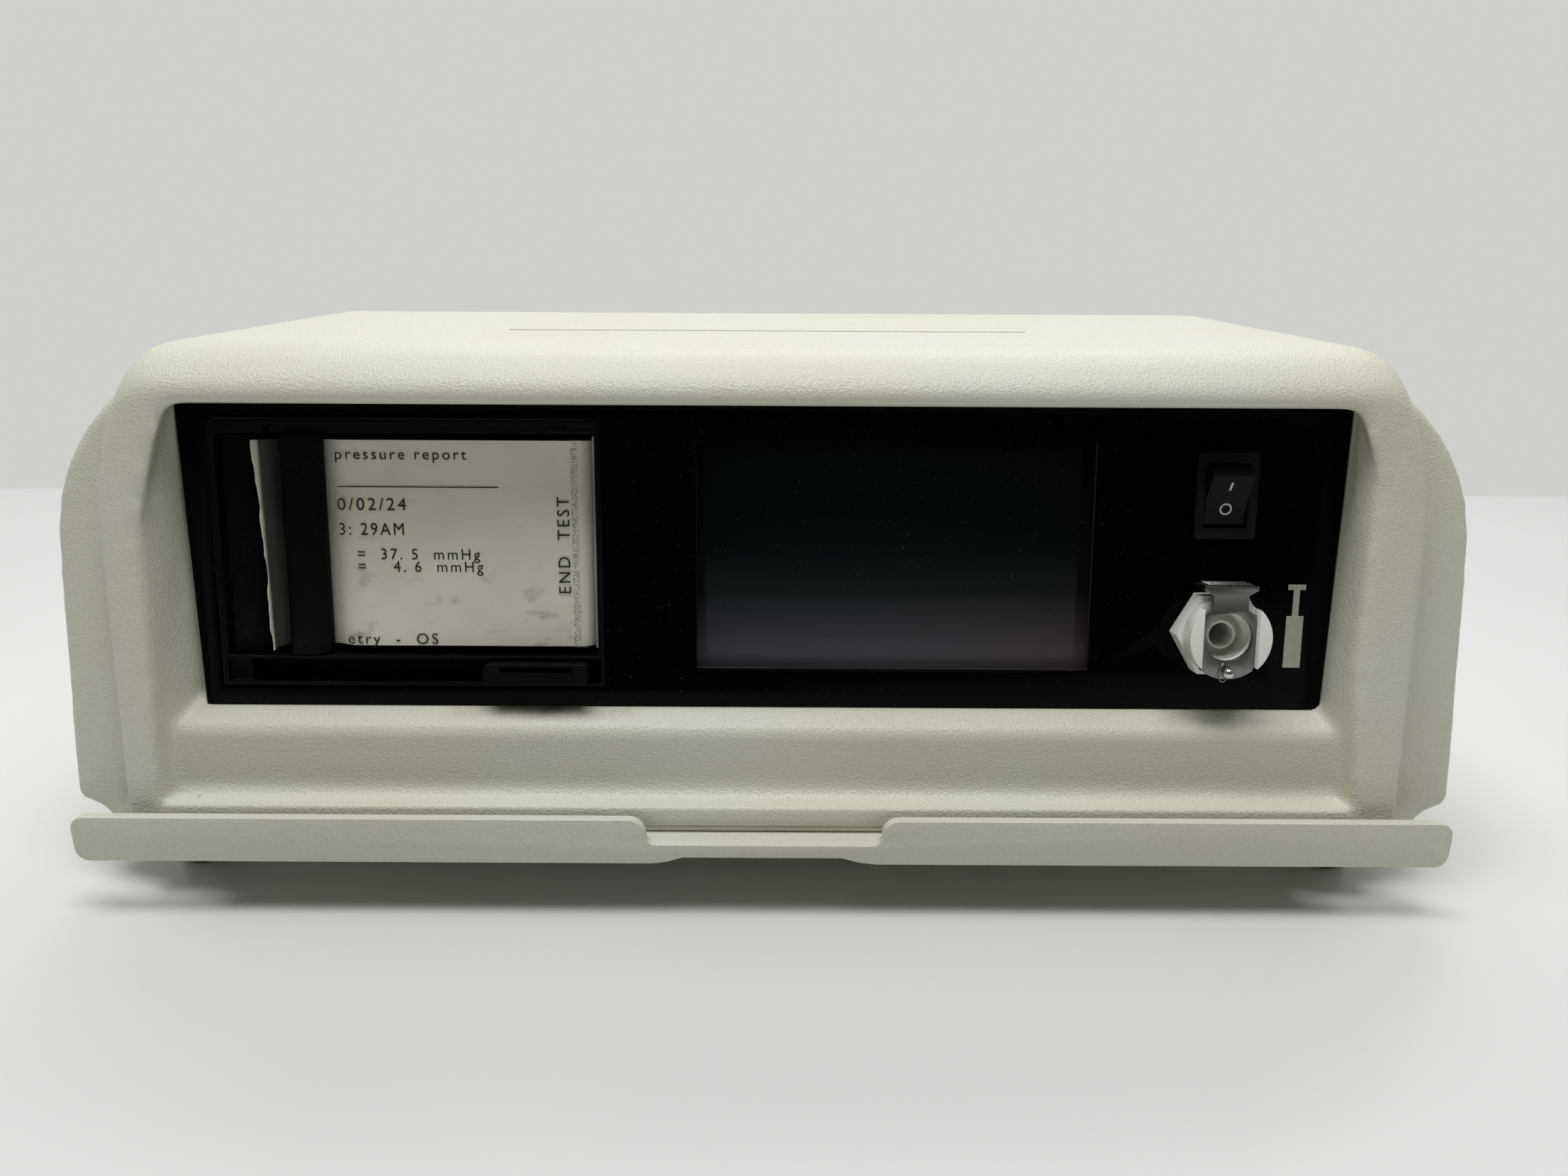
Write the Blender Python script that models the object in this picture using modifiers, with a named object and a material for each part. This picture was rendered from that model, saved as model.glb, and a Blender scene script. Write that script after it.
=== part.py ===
"""Tabletop pneumatonometer console, at rest, in metres with +Z up.

The origin is on the table under the middle of the case. +X is the operator's right, -Y the front.
Lengths below are in millimetres and become metres in the helpers.
"""

import math

import bmesh
import bpy
from mathutils import Vector

MM = 0.001

# Case
CASE_HALF = 167.0
FRAME_HALF = 150.5
CROWN = 121.4
WALL = 3.0
FACE_Y = -121.0
FACE_LEAN = 0.1263
SHOULDER = 45.0
BAND_BEND, BAND_CORNER = 80.0, 8.0
REAR_Y = 125.0
SKIRT_Z = 5.0
LAND_Z = 16.6

# Control panel: everything on it is placed across, up the slope and out of its face
PANEL_LEAN_DEG = 8.5
PANEL_AT = (0.0, -100.2, 72.6)
PANEL_LOW, PANEL_HIGH = -36.2, 36.3
PANEL_HALF_LOW, PANEL_HALF_HIGH = 134.5, 136.8
PANEL_THICK = 3.0
RECESS_HALF = 139.5
GAP = 0.3

# Chart printer
BAY_LEFT, BAY_RIGHT = -129.8, -38.0
BAY_LOW, BAY_HIGH = -31.5, 31.8
BAY_DEEP = 40.0
PAPER_LOW, PAPER_HIGH = -22.1, 27.1
PAPER_THICK = 0.3

# Display
WINDOW = (-16.1, 78.7, -27.5, 27.2)

# Switch and probe coupling
SWITCH_AT = (108.3, 15.2)
SWITCH_SIZE = (14.4, 20.2)
COUPLER_AT = (107.7, -17.1)
HEX_FLATS = 18.6
SLEEVE_R = 9.45
PLATE_BORE_R = 5.6
BORE_R = 5.5
INNER_BORE_R = 3.25

# Front door and base
DOOR_HALF = 160.0
DOOR_SHEET_HALF = 132.0
DOOR_LENGTH = 128.0
DOOR_Y = -125.0
NOTCH = (-27.0, 28.0)
SHELF_Z = 11.4

# The case is drawn with its skirt at SKIRT_Z and lifted this much at the end, onto its feet
STAND = 9.0
SCREWS_AT = ((-145.4, -60.0), (145.4, -60.0), (-145.4, 74.0), (145.4, 74.0))
FEET_X, FEET_Y = 144.5, (-96.0, 106.0)


def wipe():
    for old in list(bpy.data.objects):
        bpy.data.objects.remove(old, do_unlink=True)


wipe()
PARTS = bpy.data.collections.new("pneumatonometer_console")
CUTTERS = bpy.data.collections.new("cutters")
bpy.context.scene.collection.children.link(PARTS)
bpy.context.scene.collection.children.link(CUTTERS)


def material(name, colour, roughness, metallic=0.0):
    made = bpy.data.materials.new(name)
    made.use_nodes = True
    shader = made.node_tree.nodes["Principled BSDF"]
    shader.inputs["Base Color"].default_value = (*colour, 1.0)
    shader.inputs["Roughness"].default_value = roughness
    shader.inputs["Metallic"].default_value = metallic
    return made


CREAM = material("cream_moulding", (0.74, 0.72, 0.64), 0.42)
LIP = material("white_moulding", (0.80, 0.79, 0.72), 0.40)
BLACK_GLOSS = material("black_gloss_panel", (0.006, 0.007, 0.008), 0.10)
BLACK_MATTE = material("black_plastic", (0.022, 0.023, 0.025), 0.45)
SOOT = material("dusty_black_plastic", (0.035, 0.036, 0.040), 0.60)
SCREEN = material("display_glass", (0.020, 0.035, 0.037), 0.08)
PAPER = material("chart_paper", (0.80, 0.79, 0.74), 0.70)
ACETAL = material("white_acetal", (0.86, 0.86, 0.82), 0.32)
STEEL = material("stainless_steel", (0.60, 0.59, 0.57), 0.28, 1.0)
ZINC = material("zinc_plate", (0.55, 0.55, 0.56), 0.40, 1.0)
ALUMINIUM = material("aluminium", (0.70, 0.70, 0.71), 0.38, 1.0)
BRASS = material("brass", (0.70, 0.52, 0.25), 0.35, 1.0)
RUBBER = material("black_rubber", (0.020, 0.020, 0.021), 0.80)
CLEAR = material("clear_strip", (0.62, 0.64, 0.64), 0.15)
GREEN_BOARD = material("circuit_board", (0.03, 0.16, 0.08), 0.45)
HOSE = material("hose_grey", (0.35, 0.37, 0.38), 0.50)


def place(obj, at, turn, parent, cutter):
    """Puts an object in its collection, under its parent, at a place in millimetres and a turn in degrees."""
    (CUTTERS if cutter else PARTS).objects.link(obj)
    obj.parent = parent
    obj.location = Vector(at) * MM
    obj.rotation_euler = [math.radians(angle) for angle in turn]
    if cutter:
        obj.hide_render = True
        obj.display_type = "WIRE"
    return obj


def from_bmesh(name, shape, look):
    mesh = bpy.data.meshes.new(name)
    bmesh.ops.recalc_face_normals(shape, faces=shape.faces)
    shape.to_mesh(mesh)
    shape.free()
    if look:
        mesh.materials.append(look)
    return bpy.data.objects.new(name, mesh)


def rounded(obj, width, segments=2, angle=40):
    edge = obj.modifiers.new("rounded", "BEVEL")
    edge.width = width * MM
    edge.segments = segments
    edge.limit_method = "ANGLE"
    edge.angle_limit = math.radians(angle)
    return obj


def block(name, size, at, look=None, parent=None, turn=(0, 0, 0), edge=0.0, cutter=False):
    shape = bmesh.new()
    bmesh.ops.create_cube(shape, size=1.0)
    bmesh.ops.scale(shape, vec=Vector(size) * MM, verts=shape.verts)
    obj = place(from_bmesh(name, shape, look), at, turn, parent, cutter)
    return rounded(obj, edge) if edge else obj


def span(name, low, high, look=None, parent=None, edge=0.0, cutter=False):
    """A box given by two opposite corners."""
    size = [b - a for a, b in zip(low, high)]
    middle = [(a + b) / 2 for a, b in zip(low, high)]
    return block(name, size, middle, look, parent, edge=edge, cutter=cutter)


def rod(name, radius, length, at, look=None, parent=None, turn=(0, 0, 0), sides=24, edge=0.0, cutter=False):
    shape = bmesh.new()
    bmesh.ops.create_cone(
        shape, cap_ends=True, segments=sides, radius1=radius * MM, radius2=radius * MM, depth=length * MM
    )
    obj = place(from_bmesh(name, shape, look), at, turn, parent, cutter)
    obj.data.shade_smooth()
    obj.data.set_sharp_from_angle(angle=math.radians(35))
    return rounded(obj, edge) if edge else obj


def turned(name, profile, at, look=None, parent=None, turn=(0, 0, 0), sides=32, cutter=False):
    """Turns (radius, height) points about Z. An axis-to-axis profile is open, any other is a closed ring."""
    ring = profile[0][0] > 0
    shape = bmesh.new()
    points = [shape.verts.new((radius * MM, 0, height * MM)) for radius, height in profile]
    for first, second in zip(points, points[1:] + points[:1] if ring else points[1:]):
        shape.edges.new((first, second))
    mesh = bpy.data.meshes.new(name)
    shape.to_mesh(mesh)
    shape.free()
    if look:
        mesh.materials.append(look)
    obj = place(bpy.data.objects.new(name, mesh), at, turn, parent, cutter)
    screw = obj.modifiers.new("turned", "SCREW")
    screw.axis = "Z"
    screw.steps = screw.render_steps = sides
    screw.use_merge_vertices = True
    screw.merge_threshold = 0.00001
    screw.use_smooth_shade = True
    return obj


def slab(name, outline, low, high, look=None, parent=None, at=(0, 0, 0), turn=(0, 0, 0), holes=(), cutter=False):
    """A flat outline in its own XY plane, filled and as thick as low to high along its Z."""
    curve = bpy.data.curves.new(name, "CURVE")
    curve.dimensions = "2D"
    curve.fill_mode = "BOTH"
    curve.extrude = (high - low) / 2 * MM
    for loop in (outline, *holes):
        spline = curve.splines.new("POLY")
        spline.points.add(len(loop) - 1)
        for point, (x, y) in zip(spline.points, loop):
            point.co = (x * MM, y * MM, 0, 1)
        spline.use_cyclic_u = True
    drawn = bpy.data.objects.new(name + "_outline", curve)
    PARTS.objects.link(drawn)
    bpy.context.view_layer.update()
    graph = bpy.context.evaluated_depsgraph_get()
    mesh = bpy.data.meshes.new_from_object(drawn.evaluated_get(graph))
    bpy.data.objects.remove(drawn)
    shape = bmesh.new()
    shape.from_mesh(mesh)
    bmesh.ops.remove_doubles(shape, verts=shape.verts, dist=0.000001)
    bmesh.ops.translate(shape, vec=(0, 0, (low + high) / 2 * MM), verts=shape.verts)
    obj = from_bmesh(name, shape, look)
    return place(obj, at, turn, parent, cutter)


def joined(obj, other, operation="DIFFERENCE", solver="EXACT"):
    work = obj.modifiers.new(other.name, "BOOLEAN")
    work.operation = operation
    work.object = other
    work.solver = solver
    return obj


def arc(x, y, radius, start, end, steps):
    angles = [math.radians(start + (end - start) * i / steps) for i in range(steps + 1)]
    return [(x + radius * math.cos(a), y + radius * math.sin(a)) for a in angles]


def rectangle(x0, x1, y0, y1, corner=0.0, steps=4):
    if not corner:
        return [(x0, y0), (x1, y0), (x1, y1), (x0, y1)]
    return (
        arc(x0 + corner, y0 + corner, corner, 180, 270, steps)
        + arc(x1 - corner, y0 + corner, corner, 270, 360, steps)
        + arc(x1 - corner, y1 - corner, corner, 0, 90, steps)
        + arc(x0 + corner, y1 - corner, corner, 90, 180, steps)
    )


# Sections of the case: half outlines from the middle of the floor up to the middle of the crown
def case_outline(half, crown, shoulder=SHOULDER, skirt=SKIRT_Z):
    waist = half - 2.2
    flank = [(0, skirt), (half - 11, skirt), (half - 6, skirt + 7), (half, skirt + 9.5)]
    return flank + arc(waist - shoulder, crown - shoulder, shoulder, 0, 90, 12) + [(0, crown)]


def band_outline(half, crown, skirt=SKIRT_Z):
    """The narrower band that makes the front frame and runs back over the top, with a tight upper corner."""
    bend_z = crown - 35.4
    tip = math.asin((crown - BAND_CORNER - bend_z) / (BAND_BEND - BAND_CORNER))
    lean = arc(half - BAND_BEND, bend_z, BAND_BEND, 0, math.degrees(tip), 5)
    x, z = lean[-1]
    corner = arc(
        x - BAND_CORNER * math.cos(tip), z - BAND_CORNER * math.sin(tip), BAND_CORNER, math.degrees(tip), 90, 6
    )
    return [(0, skirt), (half, skirt)] + lean + corner[1:] + [(0, crown)]


RAY_FROM = (0.0, 60.0)
KEY_POINTS = [(156, 5), (150.5, 5), (161, 12), (167, 14.5)]
RAYS = sorted(
    {math.atan2(z - RAY_FROM[1], x) for x, z in KEY_POINTS}
    | {math.radians(a) for a in (-90, -55, -30, -12, -8, -4, 0, 4, 7, 10, 12, 14, 16, 18, 19.5, 21)}
    | {math.radians(a) for a in (22, 22.8, 23.6, 24.4, 25.4, 27.5, 31, 40, 60, 90)}
)


def reach(outline, angle):
    """How far a ray from the middle of the section goes before it leaves the outline."""
    dx, dz = math.cos(angle), math.sin(angle)
    best = 0.0
    for (x0, z0), (x1, z1) in zip(outline, outline[1:]):
        ex, ez = x1 - x0, z1 - z0
        cross = dx * ez - dz * ex
        if abs(cross) < 1e-9:
            continue
        ax, az = x0 - RAY_FROM[0], z0 - RAY_FROM[1]
        along = (ax * ez - az * ex) / cross
        share = (ax * dz - az * dx) / cross
        if along > 0 and -1e-6 <= share <= 1 + 1e-6:
            best = max(best, along)
    return best


def loft(name, stations, look=None, cutter=False):
    """Skins sections that stand across Y. A station is (y at the floor, lean, crown, outlines to take the widest of)."""
    shape = bmesh.new()
    rings = []
    for y, lean, crown, *outlines in stations:
        squash = crown / CROWN
        tall = [[(x, z / squash) for x, z in outline] for outline in outlines]
        half = []
        for angle in RAYS:
            long = max(reach(outline, angle) for outline in tall)
            half.append((long * math.cos(angle), (RAY_FROM[1] + long * math.sin(angle)) * squash))
        loop = half + [(-x, z) for x, z in half[-2:0:-1]]
        rings.append([shape.verts.new((x * MM, (y + lean * z) * MM, z * MM)) for x, z in loop])
    for ahead, behind in zip(rings, rings[1:]):
        for i in range(len(ahead)):
            j = (i + 1) % len(ahead)
            shape.faces.new((ahead[i], ahead[j], behind[j], behind[i]))
    shape.faces.new(rings[0])
    shape.faces.new(rings[-1][::-1])
    return place(from_bmesh(name, shape, look), (0, 0, 0), (0, 0, 0), None, cutter)


def face_at(depth):
    return FACE_Y + depth * math.sqrt(1 + FACE_LEAN**2)


def frame_station(depth, half, crown):
    return (face_at(depth), FACE_LEAN, crown, band_outline(half, crown))


def wing_station(depth, half, crown):
    return (face_at(depth), FACE_LEAN, crown, case_outline(half, crown), band_outline(FRAME_HALF, crown))


def case_station(y, half, crown, band=FRAME_HALF, shoulder=SHOULDER):
    return (y, 0.0, crown, case_outline(half, crown, shoulder), band_outline(band, crown))


# Upper housing: lofted outside, hollowed from below, with the panel recess cut in its front
housing = loft(
    "upper_housing",
    [
        frame_station(0.0, FRAME_HALF - 1.6, 112.0),
        frame_station(0.6, FRAME_HALF - 0.6, 113.4),
        frame_station(2.0, FRAME_HALF, 115.2),
        frame_station(4.6, FRAME_HALF, 117.6),
        frame_station(7.0, FRAME_HALF, 119.2),
        wing_station(7.4, CASE_HALF - 1.4, 119.4),
        wing_station(8.8, CASE_HALF, 120.0),
        wing_station(13.0, CASE_HALF, 121.1),
        wing_station(18.0, CASE_HALF, CROWN),
        case_station(-62.0, CASE_HALF, CROWN, 151.5),
        case_station(27.5, CASE_HALF, CROWN, 155.0),
        case_station(34.0, CASE_HALF, 120.6, 155.0),
        case_station(70.0, CASE_HALF, 110.8, 153.0),
        case_station(113.0, CASE_HALF, 98.5, 150.0, 40.0),
        case_station(120.0, CASE_HALF - 2.5, 95.5, 147.5, 38.0),
        case_station(124.0, CASE_HALF - 7.0, 92.0, 143.0, 36.0),
        case_station(REAR_Y, CASE_HALF - 10.5, 89.5, 139.5, 34.0),
    ],
    CREAM,
)


def hollow_station(y, lean, half, crown, shoulder=SHOULDER - WALL):
    outline = case_outline(half, crown, shoulder, skirt=-6.0)
    flank = [(0, -6), (half - 8, -6), (half - 8, SKIRT_Z), (half - 3.5, SKIRT_Z + 7), (half, SKIRT_Z + 10.5)]
    return (y, lean, crown, flank + outline[4:])


CAVITY_LEAN = math.tan(math.radians(PANEL_LEAN_DEG))
CAVITY_Y = PANEL_AT[1] - CAVITY_LEAN * PANEL_AT[2] + 6.1
INSIDE = CASE_HALF - WALL
cavity = loft(
    "case_hollow",
    [
        hollow_station(CAVITY_Y, CAVITY_LEAN, INSIDE, CROWN - WALL),
        hollow_station(-62.0, 0.0, INSIDE, CROWN - WALL),
        hollow_station(27.0, 0.0, INSIDE, CROWN - WALL),
        hollow_station(33.5, 0.0, INSIDE, 117.2),
        hollow_station(69.0, 0.0, INSIDE, 107.6),
        hollow_station(112.0, 0.0, INSIDE, 95.3, 37.0),
        hollow_station(118.0, 0.0, INSIDE - 2.5, 92.0, 35.0),
        hollow_station(REAR_Y - WALL, 0.0, INSIDE - 7.0, 89.0, 33.0),
    ],
    cutter=True,
)


def panel_point(up, out=0.0):
    """(y, z) of a point on the middle of the panel, so far up its slope and out of its face."""
    lean = math.radians(PANEL_LEAN_DEG)
    y = PANEL_AT[1] + up * math.sin(lean) - out * math.cos(lean)
    z = PANEL_AT[2] + up * math.cos(lean) + out * math.sin(lean)
    return y, z


# The recess: its side view is drawn in Y and Z, then kept between two drafted side walls
foot, head = panel_point(PANEL_LOW), panel_point(PANEL_HIGH)
recess_view = (
    [(-150.0, LAND_Z)]
    + arc(-116.4, LAND_Z + 3.6, 3.6, 270, 355, 4)
    + [(-112.2, 31.0)]
    + arc(-109.4, 31.4, 2.8, 170, 122, 3)
    + [foot, (foot[0] + 4, foot[1] + 2), (head[0] + 4, head[1] - 1), head, (-107.8, 109.0), (-150.0, 110.5)]
)
recess = slab(
    "recess_view", recess_view, -150, 150, turn=(90, 0, 90), cutter=True
)
draft = block("recess_draft", (2, 60, 140), (0, -110, 62), cutter=True)
for corner in draft.data.vertices:
    ahead, above = corner.co.y < 0, corner.co.z > 0
    reach_out = (RECESS_HALF + (7.0 if above else 10.5)) if ahead else (RECESS_HALF - (6.5 if above else 15.8))
    corner.co.x = math.copysign(reach_out * MM, corner.co.x)
joined(recess, draft, "INTERSECT")

# The upper corners of the recess are square at the panel and open out into wide curves at the front
CORNER_CURVE = [
    (145.0, 70.0), (141.6, 76.0), (140.0, 82.5), (137.6, 92.0), (135.3, 99.8), (132.6, 106.8),
    (130.2, 110.6), (126.0, 113.5), (145.0, 113.5),
]
CORNER_REACH = 2.2
apex = Vector((137.6, head[0] + 0.6, head[1] + 0.6))
for name, side in (("left", -1), ("right", 1)):
    cone = bmesh.new()
    tip = cone.verts.new((side * apex.x * MM, apex.y * MM, apex.z * MM))
    ring = []
    for x, z in CORNER_CURVE:
        at_face = Vector((x, FACE_Y + FACE_LEAN * z, z))
        spot = apex + CORNER_REACH * (at_face - apex)
        ring.append(cone.verts.new((side * spot.x * MM, spot.y * MM, spot.z * MM)))
    for a, b in zip(ring, ring[1:] + ring[:1]):
        cone.faces.new((tip, a, b))
    cone.faces.new(ring)
    bmesh.ops.recalc_face_normals(cone, faces=cone.faces[:])
    corner = place(from_bmesh(f"recess_corner_{name}", cone, None), (0, 0, 0), (0, 0, 0), None, True)
    joined(recess, corner)

datum = bpy.data.objects.new("panel_datum", None)
PARTS.objects.link(datum)
datum.location = Vector(PANEL_AT) * MM
datum.rotation_euler = (math.radians(90 - PANEL_LEAN_DEG), 0, 0)


def panel_half(up):
    share = (up - PANEL_LOW) / (PANEL_HIGH - PANEL_LOW)
    return PANEL_HALF_LOW + (PANEL_HALF_HIGH - PANEL_HALF_LOW) * share


def panel_outline(grow):
    low, high = PANEL_LOW - grow, PANEL_HIGH + grow
    return [
        (-panel_half(low) - grow, low),
        (panel_half(low) + grow, low),
        (panel_half(high) + grow, high),
        (-panel_half(high) - grow, high),
    ]


pocket = slab("panel_pocket", panel_outline(GAP), -PANEL_THICK - GAP, 4.0, parent=datum, cutter=True)
aperture = slab(
    "panel_aperture", rectangle(-130.6, 130.6, -34.4, 34.6), -14.0, 0.0, parent=datum, cutter=True
)
ledge_void = span("ledge_void", (-131, -108.8, -2), (131, -90, 29.0), cutter=True)
door_slot = span("door_slot", (-134.5, -140, -2), (134.5, -100, SHELF_Z), cutter=True)
shelf_gap = span("shelf_gap", (-151.5, -140, -2), (151.5, -118.2, SHELF_Z), cutter=True)
lip_room = span("lip_room", (-170, -140, -2), (170, -122.2, 40.0), cutter=True)
groove = block("crown_groove", (138, 1.6, 1.6), (0, -50.5, CROWN), edge=0.0, cutter=True)
rear_window = span("rear_window", (-96.0, 110, 20.0), (96.0, 140, 70.0), cutter=True)
rear_seat = span("rear_seat", (-101.0, 123.2, 15.0), (101.0, 140, 75.0), cutter=True)
for tool in (recess, cavity, pocket, aperture, ledge_void, door_slot, shelf_gap, lip_room, groove):
    joined(housing, tool, solver="MANIFOLD")
joined(housing, rear_window, solver="MANIFOLD")
joined(housing, rear_seat, solver="MANIFOLD")

# Front door: thin tray under the case with a white lip across its front and a finger notch in the lip
lip_outline = (
    arc(-DOOR_HALF + 3, 8.2, 3.0, 180, 270, 4)
    + [(-25.6, 5.2), (-22.0, 5.7), (-18.6, 6.8), (18.8, 6.8), (22.6, 5.7), (26.6, 5.2)]
    + arc(DOOR_HALF - 3, 8.2, 3.0, 270, 360, 4)
    + arc(DOOR_HALF - 3, 13.4, 3.0, 0, 90, 4)
    + arc(-DOOR_HALF + 3, 13.4, 3.0, 90, 180, 4)
)
lip = slab("front_door", lip_outline, 122.6, 125.0, LIP, turn=(90, 0, 0))
door_sheet = span("door_sheet", (-DOOR_SHEET_HALF, -123.4, 7.4), (DOOR_SHEET_HALF, DOOR_Y + DOOR_LENGTH, 10.0), cutter=True)
notch_outline = (
    arc(NOTCH[0] + 2.2, 12.2, 2.2, 180, 270, 4)
    + arc(NOTCH[1] - 2.2, 12.2, 2.2, 270, 360, 4)
    + arc(NOTCH[1] + 4.0, 12.4, 4.0, 180, 90, 5)
    + [(NOTCH[1] + 4.0, 30.0), (NOTCH[0] - 4.0, 30.0)]
    + arc(NOTCH[0] - 4.0, 12.4, 4.0, 90, 0, 5)
)
notch = slab("door_notch", notch_outline, 115, 130, turn=(90, 0, 0), cutter=True)
joined(joined(lip, door_sheet, "UNION"), notch)

# Base pan: side flanges on the feet, raised in the middle over the door, with bosses for the board
base_view = [
    (-152.2, 5.0), (-136.0, 5.0), (-136.0, 11.4), (136.0, 11.4), (136.0, 5.0), (152.2, 5.0),
    (152.2, 7.6), (138.6, 7.6), (138.6, 13.8), (-138.6, 13.8), (-138.6, 7.6), (-152.2, 7.6),
]
base = slab("base_pan", base_view, -118.0, 98.0, BLACK_MATTE, turn=(90, 0, 0))
for index, (x, y) in enumerate(((20, -40), (130, -40), (20, 40), (130, 40))):
    joined(base, rod(f"board_boss_{index}", 4.0, 8.0, (x, y, 17.0), cutter=True, sides=12), "UNION")

for side, x in (("left", -133.9), ("right", 133.9)):
    span(f"door_rail_{side}", (x - 1.5, -98, 5.4), (x + 1.5, 100, 11.1), ZINC)

for index, (x, y) in enumerate((a, b) for b in FEET_Y for a in (-FEET_X, FEET_X)):
    turned(f"foot_{index + 1}", [(0, 4.7), (6.2, 4.7), (7.6, 1.0 - STAND), (6.8, -STAND), (0, -STAND)], (x, y, 0), RUBBER, sides=24)

# Screws that come up through the side flanges and hold the housing to the base
for index, (x, y) in enumerate(SCREWS_AT):
    rod(f"case_screw_{index + 1}", 3.0, 1.5, (x, y, 3.95), ZINC, sides=20, edge=0.4)

# Control panel and what shows through it
panel = slab("control_panel", panel_outline(0.0), -PANEL_THICK, 0.0, BLACK_GLOSS, datum)
bay_cut = span(
    "bay_cut", (BAY_LEFT - GAP, BAY_LOW - GAP, -9), (BAY_RIGHT + GAP, BAY_HIGH + GAP, 5), parent=datum, cutter=True
)
window_cut = span("window_cut", (WINDOW[0], WINDOW[2], -9), (WINDOW[1], WINDOW[3], 5), parent=datum, cutter=True)
switch_cut = block("switch_cut", (13.4, 19.4, 12), (*SWITCH_AT, 0), parent=datum, cutter=True)
coupler_cut = rod("coupler_cut", 6.6, 12, (*COUPLER_AT, 0), parent=datum, cutter=True)
for tool in (bay_cut, window_cut, switch_cut, coupler_cut):
    joined(panel, tool)

middle = ((WINDOW[0] + WINDOW[1]) / 2, (WINDOW[2] + WINDOW[3]) / 2)
wide, tall = WINDOW[1] - WINDOW[0], WINDOW[3] - WINDOW[2]


def around(grow):
    return rectangle(WINDOW[0] - grow, WINDOW[1] + grow, WINDOW[2] - grow, WINDOW[3] + grow)


slab("display_gasket", around(3.2), -4.2, -3.3, BLACK_MATTE, datum, holes=[around(0.0)])
block("display_glass", (wide + 6, tall + 6, 1.2), (*middle, -5.1), SCREEN, datum)
block("display_module", (wide + 9, tall + 8, 4.6), (*middle, -8.3), ZINC, datum, edge=0.5)

# Mains rocker switch
SWITCH_HALF = (SWITCH_SIZE[0] / 2, SWITCH_SIZE[1] / 2)
bezel = slab(
    "rocker_bezel",
    rectangle(-SWITCH_HALF[0], SWITCH_HALF[0], -SWITCH_HALF[1], SWITCH_HALF[1], 1.0, 3),
    0.3, 1.2, BLACK_MATTE, datum, at=(*SWITCH_AT, 0),
    holes=[rectangle(-5.1, 5.1, -7.6, 7.6)],
)
shell = slab(
    "rocker_shell", rectangle(-6.5, 6.5, -9.5, 9.5), -16.0, 0.8, parent=datum, at=(*SWITCH_AT, 0),
    holes=[rectangle(-5.1, 5.1, -7.6, 7.6)], cutter=True,
)
joined(bezel, shell, "UNION")
button = slab(
    "rocker_button",
    [(-7.0, -2.4), (-3.0, -4.6), (3.0, -4.6), (7.0, -2.4), (6.5, 3.0), (5.6, 4.6), (0.6, 1.2), (-6.2, -0.7), (-7.0, -1.2)],
    -4.8, 4.8, BLACK_MATTE, datum, at=(*SWITCH_AT, 0.6), turn=(90, 0, 90),
)
block("switch_contacts", (9.4, 14.0, 6.0), (*SWITCH_AT, -11.6), BRASS, datum)

# Probe coupling: hexagonal flange and threaded neck, white sleeve, thumb latch with spring and pin
body = rod("coupler_body", HEX_FLATS / math.sqrt(3), 5.2, (*COUPLER_AT, 2.9), ACETAL, datum, turn=(0, 0, 30), sides=6)
neck = rod("coupler_neck", 6.2, 22, (*COUPLER_AT, -8.6), parent=datum, sides=32, cutter=True)
barb = rod("coupler_barb", 3.2, 12, (*COUPLER_AT, -24.0), parent=datum, sides=20, cutter=True)
through = rod("coupler_through", INNER_BORE_R, 40, (*COUPLER_AT, -10.0), parent=datum, sides=24, cutter=True)
barb_bore = rod("coupler_barb_bore", 2.0, 60, (*COUPLER_AT, -14.0), parent=datum, sides=16, cutter=True)
joined(body, neck, "UNION")
joined(body, barb, "UNION")
joined(body, through)
joined(body, barb_bore)
nut = rod("coupler_nut", 9.4, 3.8, (*COUPLER_AT, -8.5), ACETAL, datum, sides=6)
nut_bore = rod("nut_bore", 6.5, 10, (*COUPLER_AT, -8.5), parent=datum, sides=32, cutter=True)
joined(nut, nut_bore)
sleeve = rod("coupler_sleeve", SLEEVE_R, 5.0, (*COUPLER_AT, 8.3), ACETAL, datum, sides=48)
sleeve_bore = rod("sleeve_bore", BORE_R, 14, (*COUPLER_AT, 8.3), parent=datum, sides=40, cutter=True)
latch_slot = span(
    "latch_slot",
    (COUPLER_AT[0] - 6.4, COUPLER_AT[1] - 14, 7.6), (COUPLER_AT[0] + 6.4, COUPLER_AT[1] + 14, 14.0),
    parent=datum, cutter=True,
)
for tool in (sleeve_bore, latch_slot):
    joined(sleeve, tool)
tab = [(4.1, 6.6), (4.1, 10.0), (6.2, 11.2), (6.2, 12.2), (-6.2, 12.2), (-6.2, 11.2), (-4.1, 10.0), (-4.1, 6.6)]
plate_outline = arc(0, 0, 9.7, 232, 308, 8) + [(6.1, -6.6), (6.1, 5.4)] + tab + [(-6.1, 5.4), (-6.1, -6.6)]
latch = slab(
    "coupler_latch", plate_outline, 8.0, 9.2, STEEL, datum, at=(*COUPLER_AT, 0),
    holes=[arc(0, 0.2, PLATE_BORE_R, 0, 345, 23)],
)
thumb = span(
    "latch_thumb",
    (COUPLER_AT[0] - 6.2, COUPLER_AT[1] + 11.3, 3.0), (COUPLER_AT[0] + 6.2, COUPLER_AT[1] + 12.2, 8.6),
    parent=datum, cutter=True,
)
joined(latch, thumb, "UNION")
rod("latch_pin", 1.0, 1.4, (COUPLER_AT[0], COUPLER_AT[1] - 7.8, 10.2), STEEL, datum, sides=14)

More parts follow.
